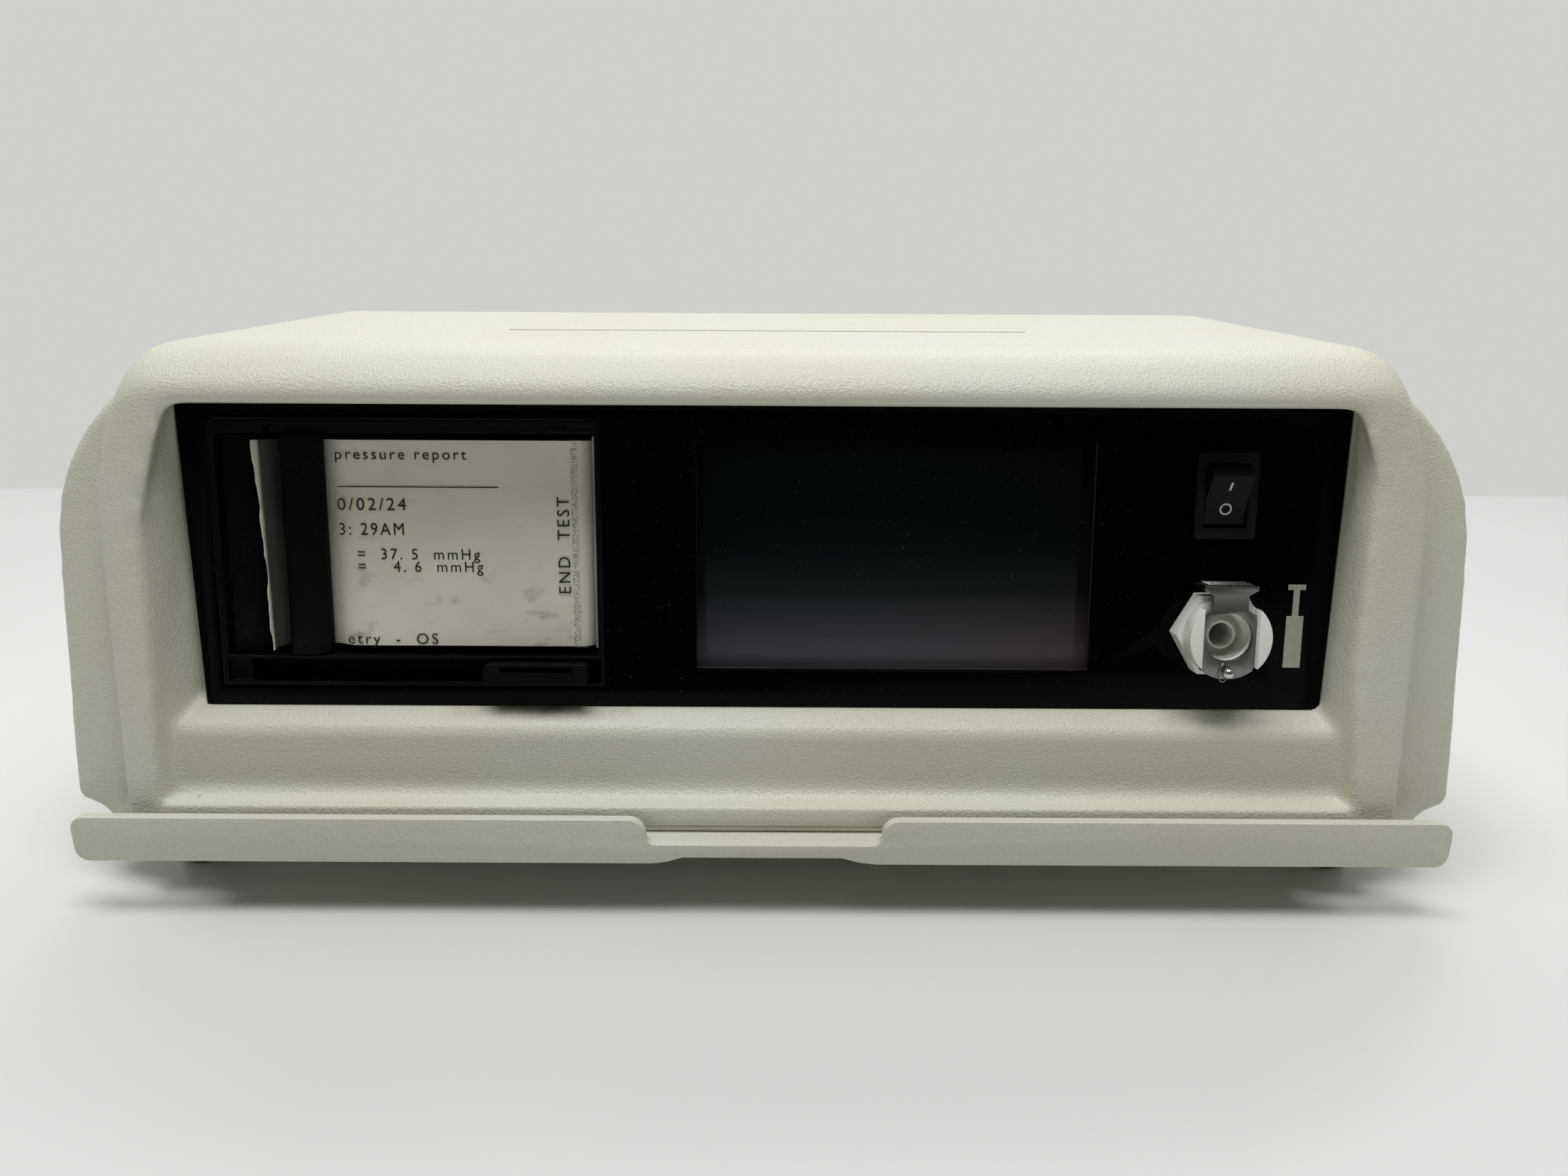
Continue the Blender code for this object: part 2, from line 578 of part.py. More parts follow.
# Chart printer: open bay, paper table and rollers, tear bar, left exit plate, latch tab
printer = slab(
    "printer_frame", rectangle(BAY_LEFT, BAY_RIGHT, BAY_LOW, BAY_HIGH), -BAY_DEEP, 0.8, SOOT, datum
)
bay_void = span(
    "bay_void", (BAY_LEFT + 1.8, -24.2, -BAY_DEEP + 1.8), (BAY_RIGHT - 1.4, 28.6, 5), parent=datum, cutter=True
)
lower_step = span(
    "lower_step", (BAY_LEFT + 1.4, BAY_LOW + 0.9, -7.0), (BAY_RIGHT - 0.9, -24.9, 5), parent=datum, cutter=True
)
upper_step = span(
    "upper_step", (-116.0, 28.0, -2.2), (BAY_RIGHT - 1.4, 30.6, 5), parent=datum, cutter=True
)
for tool in (bay_void, lower_step, upper_step):
    joined(printer, tool)
corner_block = span(
    "corner_block", (-129.0, -31.0, -7.6), (-123.4, -24.6, -1.0), parent=datum, cutter=True
)
joined(printer, corner_block, "UNION")

ROLL_AT = (-74.0, 2.2, -23.0)
DRIVE_AT = (-107.4, 2.2, -9.4)
GUIDE_AT = (-44.4, 2.2, -6.2)
PAPER_WIDE = PAPER_HIGH - PAPER_LOW
ALONG = (90, 0, 0)
span("paper_table", (-99.6, -22.6, -4.2), (-50.2, 27.6, -2.8), SOOT, datum, edge=0.4)
rod("guide_roller", 3.4, 50.4, GUIDE_AT, ZINC, datum, turn=ALONG)
roll = turned(
    "paper_roll",
    [(14.0, 24.3), (14.0, -24.3), (5.2, -24.3), (5.2, 24.3)],
    ROLL_AT, PAPER, datum, turn=ALONG, sides=40,
)
rod("roll_spindle", 4.8, 51.6, ROLL_AT, BLACK_MATTE, datum, turn=ALONG, sides=20)
drive = rod("drive_roller", 4.2, 49.6, DRIVE_AT, RUBBER, datum, turn=ALONG)
span("print_head", (-103.0, -21.0, -15.4), (-98.6, 26.0, -5.2), ALUMINIUM, datum)

ribbon_path = (
    [(-117.2, 4.4), (-116.4, 1.2), (-115.4, -2.0), (-114.6, -4.6), (-113.2, -6.4)]
    + arc(DRIVE_AT[0], DRIVE_AT[2], 4.8, 148, 62, 5)
    + [(-102.0, -4.0), (-99.0, -2.1), (-95.0, -1.9), (-52.0, -1.9)]
    + arc(GUIDE_AT[0], GUIDE_AT[2], 4.1, 90, -66, 10)
    + [(-52.0, -12.6), (-60.0, -15.2)]
)
ribbon = bmesh.new()
lower = [ribbon.verts.new((x * MM, PAPER_LOW * MM, n * MM)) for x, n in ribbon_path]
upper = [ribbon.verts.new((x * MM, PAPER_HIGH * MM, n * MM)) for x, n in ribbon_path]
for i in range(len(ribbon_path) - 1):
    ribbon.faces.new((lower[i], lower[i + 1], upper[i + 1], upper[i]))
paper = place(from_bmesh("paper_strip", ribbon, PAPER), (0, 0, 0), (0, 0, 0), datum, False)
sheet = paper.modifiers.new("sheet", "SOLIDIFY")
sheet.thickness = PAPER_THICK * MM
sheet.offset = 0

slab(
    "tear_bar",
    [(-113.2, -0.2), (-112.6, 0.7), (-107.0, 0.9), (-103.9, -1.0), (-103.7, -3.0), (-105.0, -3.2), (-111.4, -3.2)],
    -24.0, 28.4, SOOT, datum, turn=(90, 0, 0), at=(0, 4.4, 0),
)
slab(
    "exit_plate",
    [
        (-127.6, -1.4), (-123.0, -2.0), (-119.8, -4.2), (-118.4, -7.6),
        (-119.6, -8.0), (-121.0, -5.4), (-123.6, -3.6), (-127.6, -3.0),
    ],
    -24.0, 28.4, SOOT, datum, turn=(90, 0, 0), at=(0, 4.4, 0),
)
edge_strip = span("edge_strip", (-40.0, -22.0, -3.4), (-39.5, 28.2, 0.2), CLEAR, datum)

LATCH_AT = (-52.9, -25.3)
latch_tab = slab(
    "printer_latch", rectangle(-13.3, 11.5, -4.9, 0.0, 0.9, 3), -2.0, 4.4, SOOT, datum, at=(*LATCH_AT, 0.6)
)
tab_slot = slab(
    "tab_slot", rectangle(-9.4, 8.0, -1.9, -0.6, 0.5, 3), 0.8, 9.0, parent=datum, at=(*LATCH_AT, 0.6), cutter=True
)
joined(latch_tab, tab_slot)

# Paper feed drive, beside the bay behind the display
rod("feed_gear", 7.0, 3.0, (-27.0, 6.0, -24.0), BRASS, datum, turn=ALONG, sides=28)
rod("feed_motor", 9.0, 20.0, (-27.0, -14.0, -38.0), ZINC, datum, turn=ALONG, sides=28)
rod("motor_pinion", 3.0, 3.0, (-27.0, 6.0, -34.4), BRASS, datum, turn=ALONG, sides=14)

# Air supply behind the printer: motor, head and crank on a bracket over two rubber isolators
span("pump_bracket", (-120.0, -34.0, 20.4), (-40.0, 12.0, 22.4), ZINC)
for index, x in enumerate((-104.0, -56.0)):
    rod(f"pump_isolator_{index + 1}", 6.0, 5.8, (x, -11.0, 17.2), RUBBER, sides=20)
rod("pump_motor", 18.0, 46.0, (-66.0, -11.0, 41.0), ZINC, turn=(0, 90, 0), sides=32, edge=1.5)
turned(
    "pump_crank", [(0, 4.0), (10.0, 4.0), (10.0, -1.0), (4.0, -1.0), (4.0, -4.0), (0, -4.0)],
    (-94.2, -11.0, 41.0), BRASS, turn=(0, -90, 0), sides=24,
)
span("pump_head", (-124.0, -29.0, 23.0), (-100.0, 7.0, 62.0), ALUMINIUM, edge=1.5)
rod("air_filter", 12.0, 44.0, (-132.0, 45.0, 36.2), HOSE, sides=24, edge=2.0)
span("pressure_block", (20.0, -72.0, 25.6), (58.0, -46.0, 47.0), ALUMINIUM, edge=0.8)
span("main_board", (12.0, -46.0 + 2.0, 21.4), (138.0, 48.0, 23.0), GREEN_BOARD)
span("power_supply", (-110.0, 30.0, 14.4), (-8.0, 108.0, 50.0), ZINC, edge=0.8)

# Hose from the pressure block to the barb of the coupling
barb_y, barb_z = panel_point(COUPLER_AT[1], -30.6)
route = [(58.6, -59.0, 36.0), (72.0, -59.0, 36.5), (90.0, -58.0, 41.0), (104.0, -60.0, 48.5), (108.0, -64.5, 50.6)]
route.append((COUPLER_AT[0], barb_y, barb_z))
hose = bpy.data.curves.new("air_hose", "CURVE")
hose.dimensions = "3D"
hose.bevel_depth = 3.0 * MM
hose.bevel_resolution = 2
hose.use_fill_caps = True
spline = hose.splines.new("POLY")


def smooth(points, per):
    """Catmull-Rom points through the given ones."""
    ends = [2 * Vector(points[0]) - Vector(points[1])] + [Vector(p) for p in points]
    ends.append(2 * Vector(points[-1]) - Vector(points[-2]))
    out = []
    for a, b, c, d in zip(ends, ends[1:], ends[2:], ends[3:]):
        for i in range(per):
            t = i / per
            out.append(0.5 * (2 * b + (c - a) * t + (2 * a - 5 * b + 4 * c - d) * t * t + (3 * b - a - 3 * c + d) * t**3))
    return out + [ends[-2]]


line = smooth(route, 5)
spline.points.add(len(line) - 1)
for point, spot in zip(spline.points, line):
    point.co = (*(spot * MM), 1)
hose_obj = bpy.data.objects.new("air_hose", hose)
hose.materials.append(HOSE)
PARTS.objects.link(hose_obj)

# Rear panel with mains inlet, fuse drawer and data port
rear = span("rear_panel", (-100.6, 123.6, 15.4), (100.6, 124.8, 74.6), ALUMINIUM)
inlet_hole = block("inlet_hole", (27.6, 20, 20.4), (60, 124, 44), cutter=True)
port_hole = block("port_hole", (31.6, 20, 13.0), (-50, 124, 44), cutter=True)
drawer_hole = block("drawer_hole", (27.6, 20, 8.6), (60, 124, 62), cutter=True)
for tool in (inlet_hole, port_hole, drawer_hole):
    joined(rear, tool)
inlet = span("mains_inlet", (46.6, 106.0, 34.2), (73.4, 124.9, 53.8), BLACK_MATTE)
socket = span("inlet_socket", (49.2, 109.0, 37.0), (70.8, 140, 51.0), cutter=True)
joined(inlet, socket)
for x in (-6.5, 0.0, 6.5):
    blade = block(f"inlet_blade_{x:.0f}", (2.0, 13.0, 4.0), (60 + x, 114.0, 44.0), cutter=True)
    joined(inlet, blade, "UNION")
drawer = span("fuse_drawer", (46.8, 104.0, 58.2), (73.2, 124.9, 65.8), BLACK_MATTE)
pull = span("drawer_pull", (54.0, 123.7, 60.4), (66.0, 126, 63.6), cutter=True)
joined(drawer, pull)
port = span("data_port", (-65.2, 112.0, 38.0), (-34.8, 124.9, 50.0), ZINC)
port_socket = slab(
    "port_socket", [(-58.6, 40.0), (-41.4, 40.0), (-39.6, 48.0), (-60.4, 48.0)], -140, -116, turn=(90, 0, 0), cutter=True
)
joined(port, port_socket)

# Everything is lifted so that the feet stand on the table
for item in list(PARTS.objects) + list(CUTTERS.objects):
    if item.parent is None:
        item.location.z += STAND * MM
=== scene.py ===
import math

import bpy
from mathutils import Matrix, Vector


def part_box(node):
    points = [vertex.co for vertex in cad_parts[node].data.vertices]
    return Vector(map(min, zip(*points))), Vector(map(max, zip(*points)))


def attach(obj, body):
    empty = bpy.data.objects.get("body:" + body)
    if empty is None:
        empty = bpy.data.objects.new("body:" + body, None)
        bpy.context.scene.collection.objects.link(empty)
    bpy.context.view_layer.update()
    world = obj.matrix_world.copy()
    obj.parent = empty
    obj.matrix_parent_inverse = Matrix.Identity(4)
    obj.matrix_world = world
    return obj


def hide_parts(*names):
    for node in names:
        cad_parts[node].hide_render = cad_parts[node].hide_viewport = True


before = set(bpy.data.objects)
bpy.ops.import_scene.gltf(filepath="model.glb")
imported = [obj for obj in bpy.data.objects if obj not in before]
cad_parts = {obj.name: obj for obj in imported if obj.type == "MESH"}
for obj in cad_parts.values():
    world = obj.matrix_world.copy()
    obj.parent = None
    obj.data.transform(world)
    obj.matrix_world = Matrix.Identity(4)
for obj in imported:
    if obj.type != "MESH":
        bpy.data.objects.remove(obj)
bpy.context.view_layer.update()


# ---------------------------------------------------------------- upper housing
# One-piece structural-foam cover, sprayed with a pebbled off-white paint that rounds every edge.
# It drops over the base pan; the panel recess and its ledge are moulded into its front.
CREAM = (0.690, 0.690, 0.585)
PEBBLES_PER_M = 1750.0
SKIN_VOXEL = 0.0011
SKIN_SHARE = 0.26
RECESS_HALF = 0.1395
GROOVE_LONG, GROOVE_WIDE = 0.138, 0.0026
GROOVE_Y, CROWN_Z = -0.0505, 0.1306
PANEL_AT = Matrix.Translation((0, -0.1002, 0.0816)) @ Matrix.Rotation(math.radians(81.5), 4, "X")


def clear_selection():
    bpy.ops.object.select_all(action="DESELECT")


def pick(piece):
    """Makes a piece the only selected and active one."""
    clear_selection()
    piece.select_set(True)
    bpy.context.view_layer.objects.active = piece
    return piece


def weld(piece):
    pick(piece)
    bpy.ops.object.mode_set(mode="EDIT")
    bpy.ops.mesh.select_all(action="SELECT")
    bpy.ops.mesh.remove_doubles(threshold=0.000004)
    bpy.ops.mesh.dissolve_limited(angle_limit=math.radians(0.6))
    bpy.ops.object.mode_set(mode="OBJECT")
    return piece


def node_copy(node, name):
    """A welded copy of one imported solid, with its flat areas made whole again."""
    pick(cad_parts[node])
    bpy.ops.object.duplicate()
    copy = bpy.context.view_layer.objects.active
    copy.name = copy.data.name = name
    return weld(copy)


def added(name):
    """Names the primitive that was just added."""
    piece = bpy.context.object
    piece.name = piece.data.name = name
    return piece


def applied(piece, name, kind, **settings):
    """Adds one modifier with its settings and applies it."""
    pick(piece)
    work = piece.modifiers.new(name, kind)
    for key, value in settings.items():
        setattr(work, key, value)
    bpy.ops.object.modifier_apply(modifier=name)
    return piece


def carved(piece, tool, name):
    """Cuts the tool's shape out of a piece and removes the tool."""
    applied(piece, name, "BOOLEAN", object=tool, solver="EXACT")
    bpy.data.objects.remove(tool)
    return piece


def softened(piece, width, segments=3, angle=28.0, smooth=32.0):
    """Rounds the sharp edges of a piece and shades it."""
    applied(piece, "edge", "BEVEL", width=width, segments=segments, limit_method="ANGLE",
            angle_limit=math.radians(angle), use_clamp_overlap=True)
    pick(piece)
    bpy.ops.object.shade_smooth_by_angle(angle=math.radians(smooth))
    return piece


def block(name, sizes, edge, segments, at=(0, 0, 0)):
    """A block with rounded edges, its middle at the given place."""
    clear_selection()
    bpy.ops.mesh.primitive_cube_add(size=1.0, location=at, scale=sizes)
    piece = added(name)
    bpy.ops.object.transform_apply(location=True, rotation=True, scale=True)
    return softened(piece, edge, segments)


def finish(piece, look, body, slot, *nodes):
    """Material, the body that it rides on, and the solids that it stands for; the finish slot argument is
    not used.
    """
    piece.data.materials.clear()
    piece.data.materials.append(look)
    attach(piece, body)
    if nodes:
        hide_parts(*nodes)
    return piece


def grey(level):
    return (level, level, level)


class Finish:
    """A node material under construction: its tree, its Principled shader and Object coordinates."""

    def __init__(self, name, colour, roughness, metallic=0.0, specular=0.5):
        self.material = bpy.data.materials.new(name)
        self.material.use_nodes = True
        self.tree = self.material.node_tree
        self.shader = self.tree.nodes["Principled BSDF"]
        self.shader.inputs["Base Color"].default_value = (*colour, 1.0)
        self.shader.inputs["Roughness"].default_value = roughness
        self.shader.inputs["Metallic"].default_value = metallic
        self.shader.inputs["Specular IOR Level"].default_value = specular
        self.place = self.tree.nodes.new("ShaderNodeTexCoord").outputs["Object"]

    def stretched(self, x, y, z):
        """Object coordinates with each axis scaled, for grain that runs one way."""
        mapping = self.tree.nodes.new("ShaderNodeMapping")
        mapping.inputs["Scale"].default_value = (x, y, z)
        self.tree.links.new(self.place, mapping.inputs["Vector"])
        return mapping.outputs["Vector"]

    def noise(self, scale, detail=2.0, rough=0.5, where=None):
        grain = self.tree.nodes.new("ShaderNodeTexNoise")
        grain.inputs["Scale"].default_value = scale
        grain.inputs["Detail"].default_value = detail
        grain.inputs["Roughness"].default_value = rough
        self.tree.links.new(where or self.place, grain.inputs["Vector"])
        return grain.outputs["Fac"]

    def axis(self, letter):
        split = self.tree.nodes.new("ShaderNodeSeparateXYZ")
        self.tree.links.new(self.place, split.inputs["Vector"])
        return split.outputs[letter]

    def spread(self, value, low, high):
        """Brings a length on the object between 0 and 1."""
        span = self.tree.nodes.new("ShaderNodeMapRange")
        span.inputs["From Min"].default_value = low
        span.inputs["From Max"].default_value = high
        self.tree.links.new(value, span.inputs["Value"])
        return span.outputs["Result"]

    def ramp(self, value, *stops):
        band = self.tree.nodes.new("ShaderNodeValToRGB")
        marks = band.color_ramp.elements
        marks[0].position, marks[0].color = stops[0][0], (*stops[0][1], 1.0)
        marks[1].position, marks[1].color = stops[-1][0], (*stops[-1][1], 1.0)
        for position, colour in stops[1:-1]:
            marks.new(position).color = (*colour, 1.0)
        self.tree.links.new(value, band.inputs["Fac"])
        return band.outputs["Color"]

    def mix(self, factor, first, second, blend="MIX"):
        node = self.tree.nodes.new("ShaderNodeMix")
        node.data_type = "RGBA"
        node.blend_type = blend
        factor_in, first_in, second_in = node.inputs[0], node.inputs[6], node.inputs[7]
        for value, socket in ((factor, factor_in), (first, first_in), (second, second_in)):
            if isinstance(value, bpy.types.NodeSocket):
                self.tree.links.new(value, socket)
            else:
                socket.default_value = value if isinstance(value, float) else (*value, 1.0)
        return node.outputs[2]

    def stained_or_shaded(self, base, patch, within, colour):
        """The base with a colour laid on where both the patch and its limits are bright."""
        return self.mix(self.mix(1.0, patch, within, "MULTIPLY"), base, colour)

    def colour(self, value):
        self.tree.links.new(value, self.shader.inputs["Base Color"])

    def roughness(self, value):
        self.tree.links.new(value, self.shader.inputs["Roughness"])

    def relief(self, height, strength, distance):
        bump = self.tree.nodes.new("ShaderNodeBump")
        bump.inputs["Strength"].default_value = strength
        bump.inputs["Distance"].default_value = distance
        self.tree.links.new(height, bump.inputs["Height"])
        self.tree.links.new(bump.outputs["Normal"], self.shader.inputs["Normal"])


def pebbled_paint(name, colour, pebbles, tab_shadow_smudge=False):
    """Sprayed texture paint: coarse and fine pebbles with painted shade in their hollows, slow yellowing, a
    few dark nicks, and where asked a dark patch on the ledge, partly painted shadow of the printer's tab
    and partly dirt.
    """
    paint = Finish(name, colour, 0.36)
    coarse = paint.noise(pebbles, 2.0, 0.5)
    fine = paint.noise(pebbles * 2.7, 1.0)
    aged = tuple(c * k for c, k in zip(colour, (0.975, 0.955, 0.90)))
    tone = paint.ramp(paint.noise(13.0, 3.0, 0.6), (0.35, colour), (0.72, aged))
    nick = paint.ramp(paint.noise(330.0, 1.0), (0.150, grey(0.8)), (0.185, grey(0.0)))
    tone = paint.mix(nick, tone, tuple(c * 0.45 for c in colour))
    # The hollows between the pebbles are painted up to 6% darker: painted shade.
    hollow_shade = paint.ramp(coarse, (0.30, grey(0.94)), (0.52, grey(1.0)))
    tone = paint.mix(1.0, tone, hollow_shade, "MULTIPLY")
    # Where asked, a mottled brown-black patch on the ledge below the printer's release tab: partly painted
    # shadow of the tab, partly dirt.
    if tab_shadow_smudge:
        across = paint.ramp(
            paint.spread(paint.axis("X"), -0.078, -0.028),
            (0.0, grey(0.0)), (0.08, grey(0.3)), (0.38, grey(0.3)), (0.45, grey(1.0)),
            (0.58, grey(1.0)), (0.66, grey(0.3)), (0.92, grey(0.3)), (1.0, grey(0.0)),
        )
        inward = paint.ramp(
            paint.spread(paint.axis("Y"), -0.1100, -0.1065), (0.0, grey(0.0)), (0.7, grey(1.0))
        )
        height = paint.ramp(
            paint.spread(paint.axis("Z"), 0.039, 0.048),
            (0.0, grey(0.0)), (0.3, grey(1.0)), (0.9, grey(1.0)), (1.0, grey(0.0)),
        )
        mottle = paint.ramp(paint.noise(160.0, 3.0, 0.6), (0.35, grey(0.15)), (0.62, grey(0.75)))
        patch = paint.mix(1.0, paint.mix(1.0, across, height, "MULTIPLY"), inward, "MULTIPLY")
        patch = paint.mix(1.0, patch, mottle, "MULTIPLY")
        tone = paint.mix(patch, tone, (0.23, 0.19, 0.14))
    paint.colour(tone)
    paint.roughness(paint.ramp(coarse, (0.30, grey(0.42)), (0.70, grey(0.26))))
    height = paint.mix(0.3, paint.ramp(coarse, (0.32, grey(0.0)), (0.68, grey(1.0))), fine)
    paint.relief(height, 0.8, 0.00017)
    return paint.material


def panel_place(point):
    """Across, up the slope and out of the panel's face, from a point of the object."""
    return PANEL_AT.inverted() @ point


housing = node_copy("upper_housing", "housing_cover")
applied(housing, "skin", "REMESH", mode="VOXEL", voxel_size=SKIN_VOXEL, use_smooth_shade=True)
soft = housing.vertex_groups.new(name="soft")
softer = housing.vertex_groups.new(name="softer")
for vertex in housing.data.vertices:
    x, s, n = panel_place(vertex.co)
    near_panel = abs(x) < RECESS_HALF and -0.0385 < s < 0.0375 and n < 0.0016
    soft.add([vertex.index], 0.0 if near_panel else 1.0, "REPLACE")
    y, z = vertex.co.y, vertex.co.z
    at_front = y < -0.085 and abs(vertex.co.x) < 0.1445 and n > 0.003 and z > 0.054
    softer.add([vertex.index], 1.0 if at_front else 0.0, "REPLACE")
applied(housing, "blur", "SMOOTH", factor=0.5, iterations=5, vertex_group="soft")
applied(housing, "round", "SMOOTH", factor=0.5, iterations=16, vertex_group="softer")
applied(housing, "thin", "DECIMATE", ratio=SKIN_SHARE)
housing.vertex_groups.clear()

# The shallow groove across the crown is milled after the skin is smoothed
mill = block("groove_mill", (GROOVE_LONG, GROOVE_WIDE, 0.0022), 0.0004, 2, (0, GROOVE_Y, CROWN_Z))
carved(housing, mill, "groove")
pick(housing)
bpy.ops.object.shade_smooth_by_angle(angle=math.radians(48))
cream = pebbled_paint("pebbled_cream_paint", CREAM, PEBBLES_PER_M, tab_shadow_smudge=True)
finish(housing, cream, "case", "cream_moulding", "upper_housing")


# ---------------------------------------------------------------- front door
# Injection-moulded tray that slides under the case, with a lip across its front.
# The same paint, a little whiter; a finger notch is cut through the middle of the lip.
# A cream nylon strip under the case's front edge closes the gap over the tray.
lip_paint = pebbled_paint("pebbled_lip_paint", (0.700, 0.700, 0.605), 1500.0)
door = softened(node_copy("front_door", "slide_door"), 0.0010, 4, 24.0, 36.0)
finish(door, lip_paint, "door", "white_moulding", "front_door")
wiper = block("slide_strip", (0.262, 0.0012, 0.0013), 0.0003, 3, (0, -0.1181, 0.01987))
finish(wiper, lip_paint, "case", "white_moulding")


# ---------------------------------------------------------------- base pan, rails and feet
# Black moulded pan that carries the works, on four rubber feet, with zinc-plated runners for the door.
# The housing is held to its flanges by four plated screws from below.
def matte_black(name, level, dust=0.0, grain=1500.0, shine=0.35):
    """Moulded black plastic with a fine grain and, where asked, pale dust in it."""
    skin = Finish(name, grey(level), 0.48, specular=shine)
    fine = skin.noise(grain, 2.0)
    tone = skin.ramp(skin.noise(40.0, 3.0), (0.35, grey(level)), (0.75, grey(level * 1.7)))
    if dust:
        lint = skin.ramp(skin.noise(3600.0, 1.0), (0.62, grey(0.0)), (0.78, grey(1.0)))
        drift = skin.ramp(skin.noise(75.0, 3.0, 0.6), (0.42, grey(0.0)), (0.72, grey(dust)))
        tone = skin.stained_or_shaded(tone, lint, drift, grey(0.18))
    skin.colour(tone)
    skin.roughness(skin.ramp(fine, (0.3, grey(0.40)), (0.7, grey(0.58))))
    skin.relief(fine, 0.5, 0.00012)
    return skin.material


def plated(name, colour, rough, run=(1.0, 1.0, 1.0), grain=900.0, depth=0.00004):
    """Metal with a grain that may run one way, and slow changes of shine."""
    metal = Finish(name, colour, rough, metallic=1.0)
    lines = metal.noise(grain, 2.0, 0.6, metal.stretched(*run))
    metal.colour(metal.ramp(metal.noise(60.0, 2.0), (0.3, tuple(c * 0.86 for c in colour)), (0.7, colour)))
    metal.roughness(metal.ramp(lines, (0.3, grey(rough * 0.75)), (0.7, grey(min(1.0, rough * 1.35)))))
    metal.relief(lines, 0.35, depth)
    return metal.material


black = matte_black("moulded_black", 0.018)
zinc = plated("zinc_plate", (0.60, 0.61, 0.62), 0.36, grain=260.0)
rubber_skin = Finish("foot_rubber", grey(0.020), 0.8, specular=0.25)
rubber_skin.colour(rubber_skin.ramp(rubber_skin.noise(220.0, 3.0), (0.3, grey(0.016)), (0.7, grey(0.034))))
rubber_skin.relief(rubber_skin.noise(1400.0, 2.0), 0.5, 0.0001)
rubber = rubber_skin.material

finish(softened(node_copy("base_pan", "base_tray"), 0.0006, 2), black, "case", "black_plastic", "base_pan")
for side in ("left", "right"):
    rail = softened(node_copy(f"door_rail_{side}", f"runner_{side}"), 0.0004, 2)
    finish(rail, zinc, "case", "zinc_plate", f"door_rail_{side}")
for number in range(1, 5):
    foot = softened(node_copy(f"foot_{number}", f"rubber_foot_{number}"), 0.0004, 3, 20.0)
    finish(foot, rubber, "case", "black_rubber", f"foot_{number}")


def screw_head(name, radius, height, at, out):
    """Pan-head screw with a cross recess: a short disc, its rim bevelled and its face cut."""
    clear_selection()
    bpy.ops.mesh.primitive_cylinder_add(vertices=32, radius=radius, depth=height)
    head = added(name)
    softened(head, height * 0.45, 3, 40.0)
    for turn in (0, 90):
        bpy.ops.mesh.primitive_cube_add(
            size=1.0, location=(0, 0, height / 2), rotation=(0, 0, math.radians(turn)),
            scale=(radius * 1.15, radius * 0.24, height),
        )
        carved(head, added("driver_blade"), "slot")
    pick(head)
    head.matrix_world = Matrix.Translation(at) @ Vector(out).to_track_quat("Z", "Y").to_matrix().to_4x4()
    bpy.ops.object.transform_apply(location=True, rotation=True, scale=True)
    bpy.ops.object.shade_smooth_by_angle(angle=math.radians(30))
    return head


for number in range(1, 5):
    low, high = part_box(f"case_screw_{number}")
    middle = (Vector(low) + Vector(high)) / 2
    head = screw_head(f"cover_screw_{number}", 0.003, 0.0015, middle, (0, 0, -1))
    finish(head, zinc, "case", "zinc_plate", f"case_screw_{number}")


# ---------------------------------------------------------------- control panel
# Gloss black acrylic plate let into the floor of the recess, with fine dust on it.
# The pictogram beside the coupling is screen-printed in grey-green ink.
acrylic = Finish("gloss_black_acrylic", grey(0.0006), 0.09, specular=0.06)
lint = acrylic.ramp(acrylic.noise(2300.0, 0.0), (0.825, grey(0.0)), (0.86, grey(0.7)))
film = acrylic.ramp(acrylic.noise(24.0, 4.0, 0.65), (0.5, grey(0.0)), (0.9, grey(1.0)))
deep = acrylic.mix(film, (0.0002, 0.0005, 0.0004), (0.0006, 0.0010, 0.0009))
acrylic.colour(acrylic.mix(lint, deep, grey(0.07)))
acrylic.roughness(acrylic.ramp(acrylic.noise(55.0, 3.0, 0.6), (0.3, grey(0.07)), (0.8, grey(0.16))))
acrylic.relief(acrylic.noise(9.0, 1.0), 0.05, 0.0008)
panel = softened(node_copy("control_panel", "panel_plate"), 0.00030, 3, 35.0)
finish(panel, acrylic.material, "case", "black_gloss_panel", "control_panel")


def on_panel(piece, place):
    """Moves a piece drawn flat on the panel (across, up, out) to its place on the object."""
    pick(piece)
    piece.matrix_world = PANEL_AT @ place @ piece.matrix_world
    bpy.ops.object.transform_apply(location=True, rotation=True, scale=True)
    return piece


def drawn_out(name, outline, travel):
    """A closed shape: a disc whose rim is set to the outline's points, extruded by the travel."""
    clear_selection()
    bpy.ops.mesh.primitive_circle_add(vertices=len(outline), radius=0.001, fill_type="NGON")
    shape = added(name)
    for vertex, point in zip(shape.data.vertices, outline):
        vertex.co = point
    bpy.ops.object.mode_set(mode="EDIT")
    bpy.ops.mesh.select_all(action="SELECT")
    bpy.ops.mesh.extrude_region_move(TRANSFORM_OT_translate={"value": travel})
    bpy.ops.mesh.select_all(action="SELECT")
    bpy.ops.mesh.normals_make_consistent(inside=False)
    bpy.ops.object.mode_set(mode="OBJECT")
    return shape


def flat_print(name, outline, thick, look, slot, place):
    """A printed mark on the panel's plane, from an outline in millimetres."""
    mark = drawn_out(name, [(x * 0.001, y * 0.001, 0.0) for x, y in outline], (0, 0, thick))
    on_panel(mark, place)
    return finish(mark, look, "case", slot)


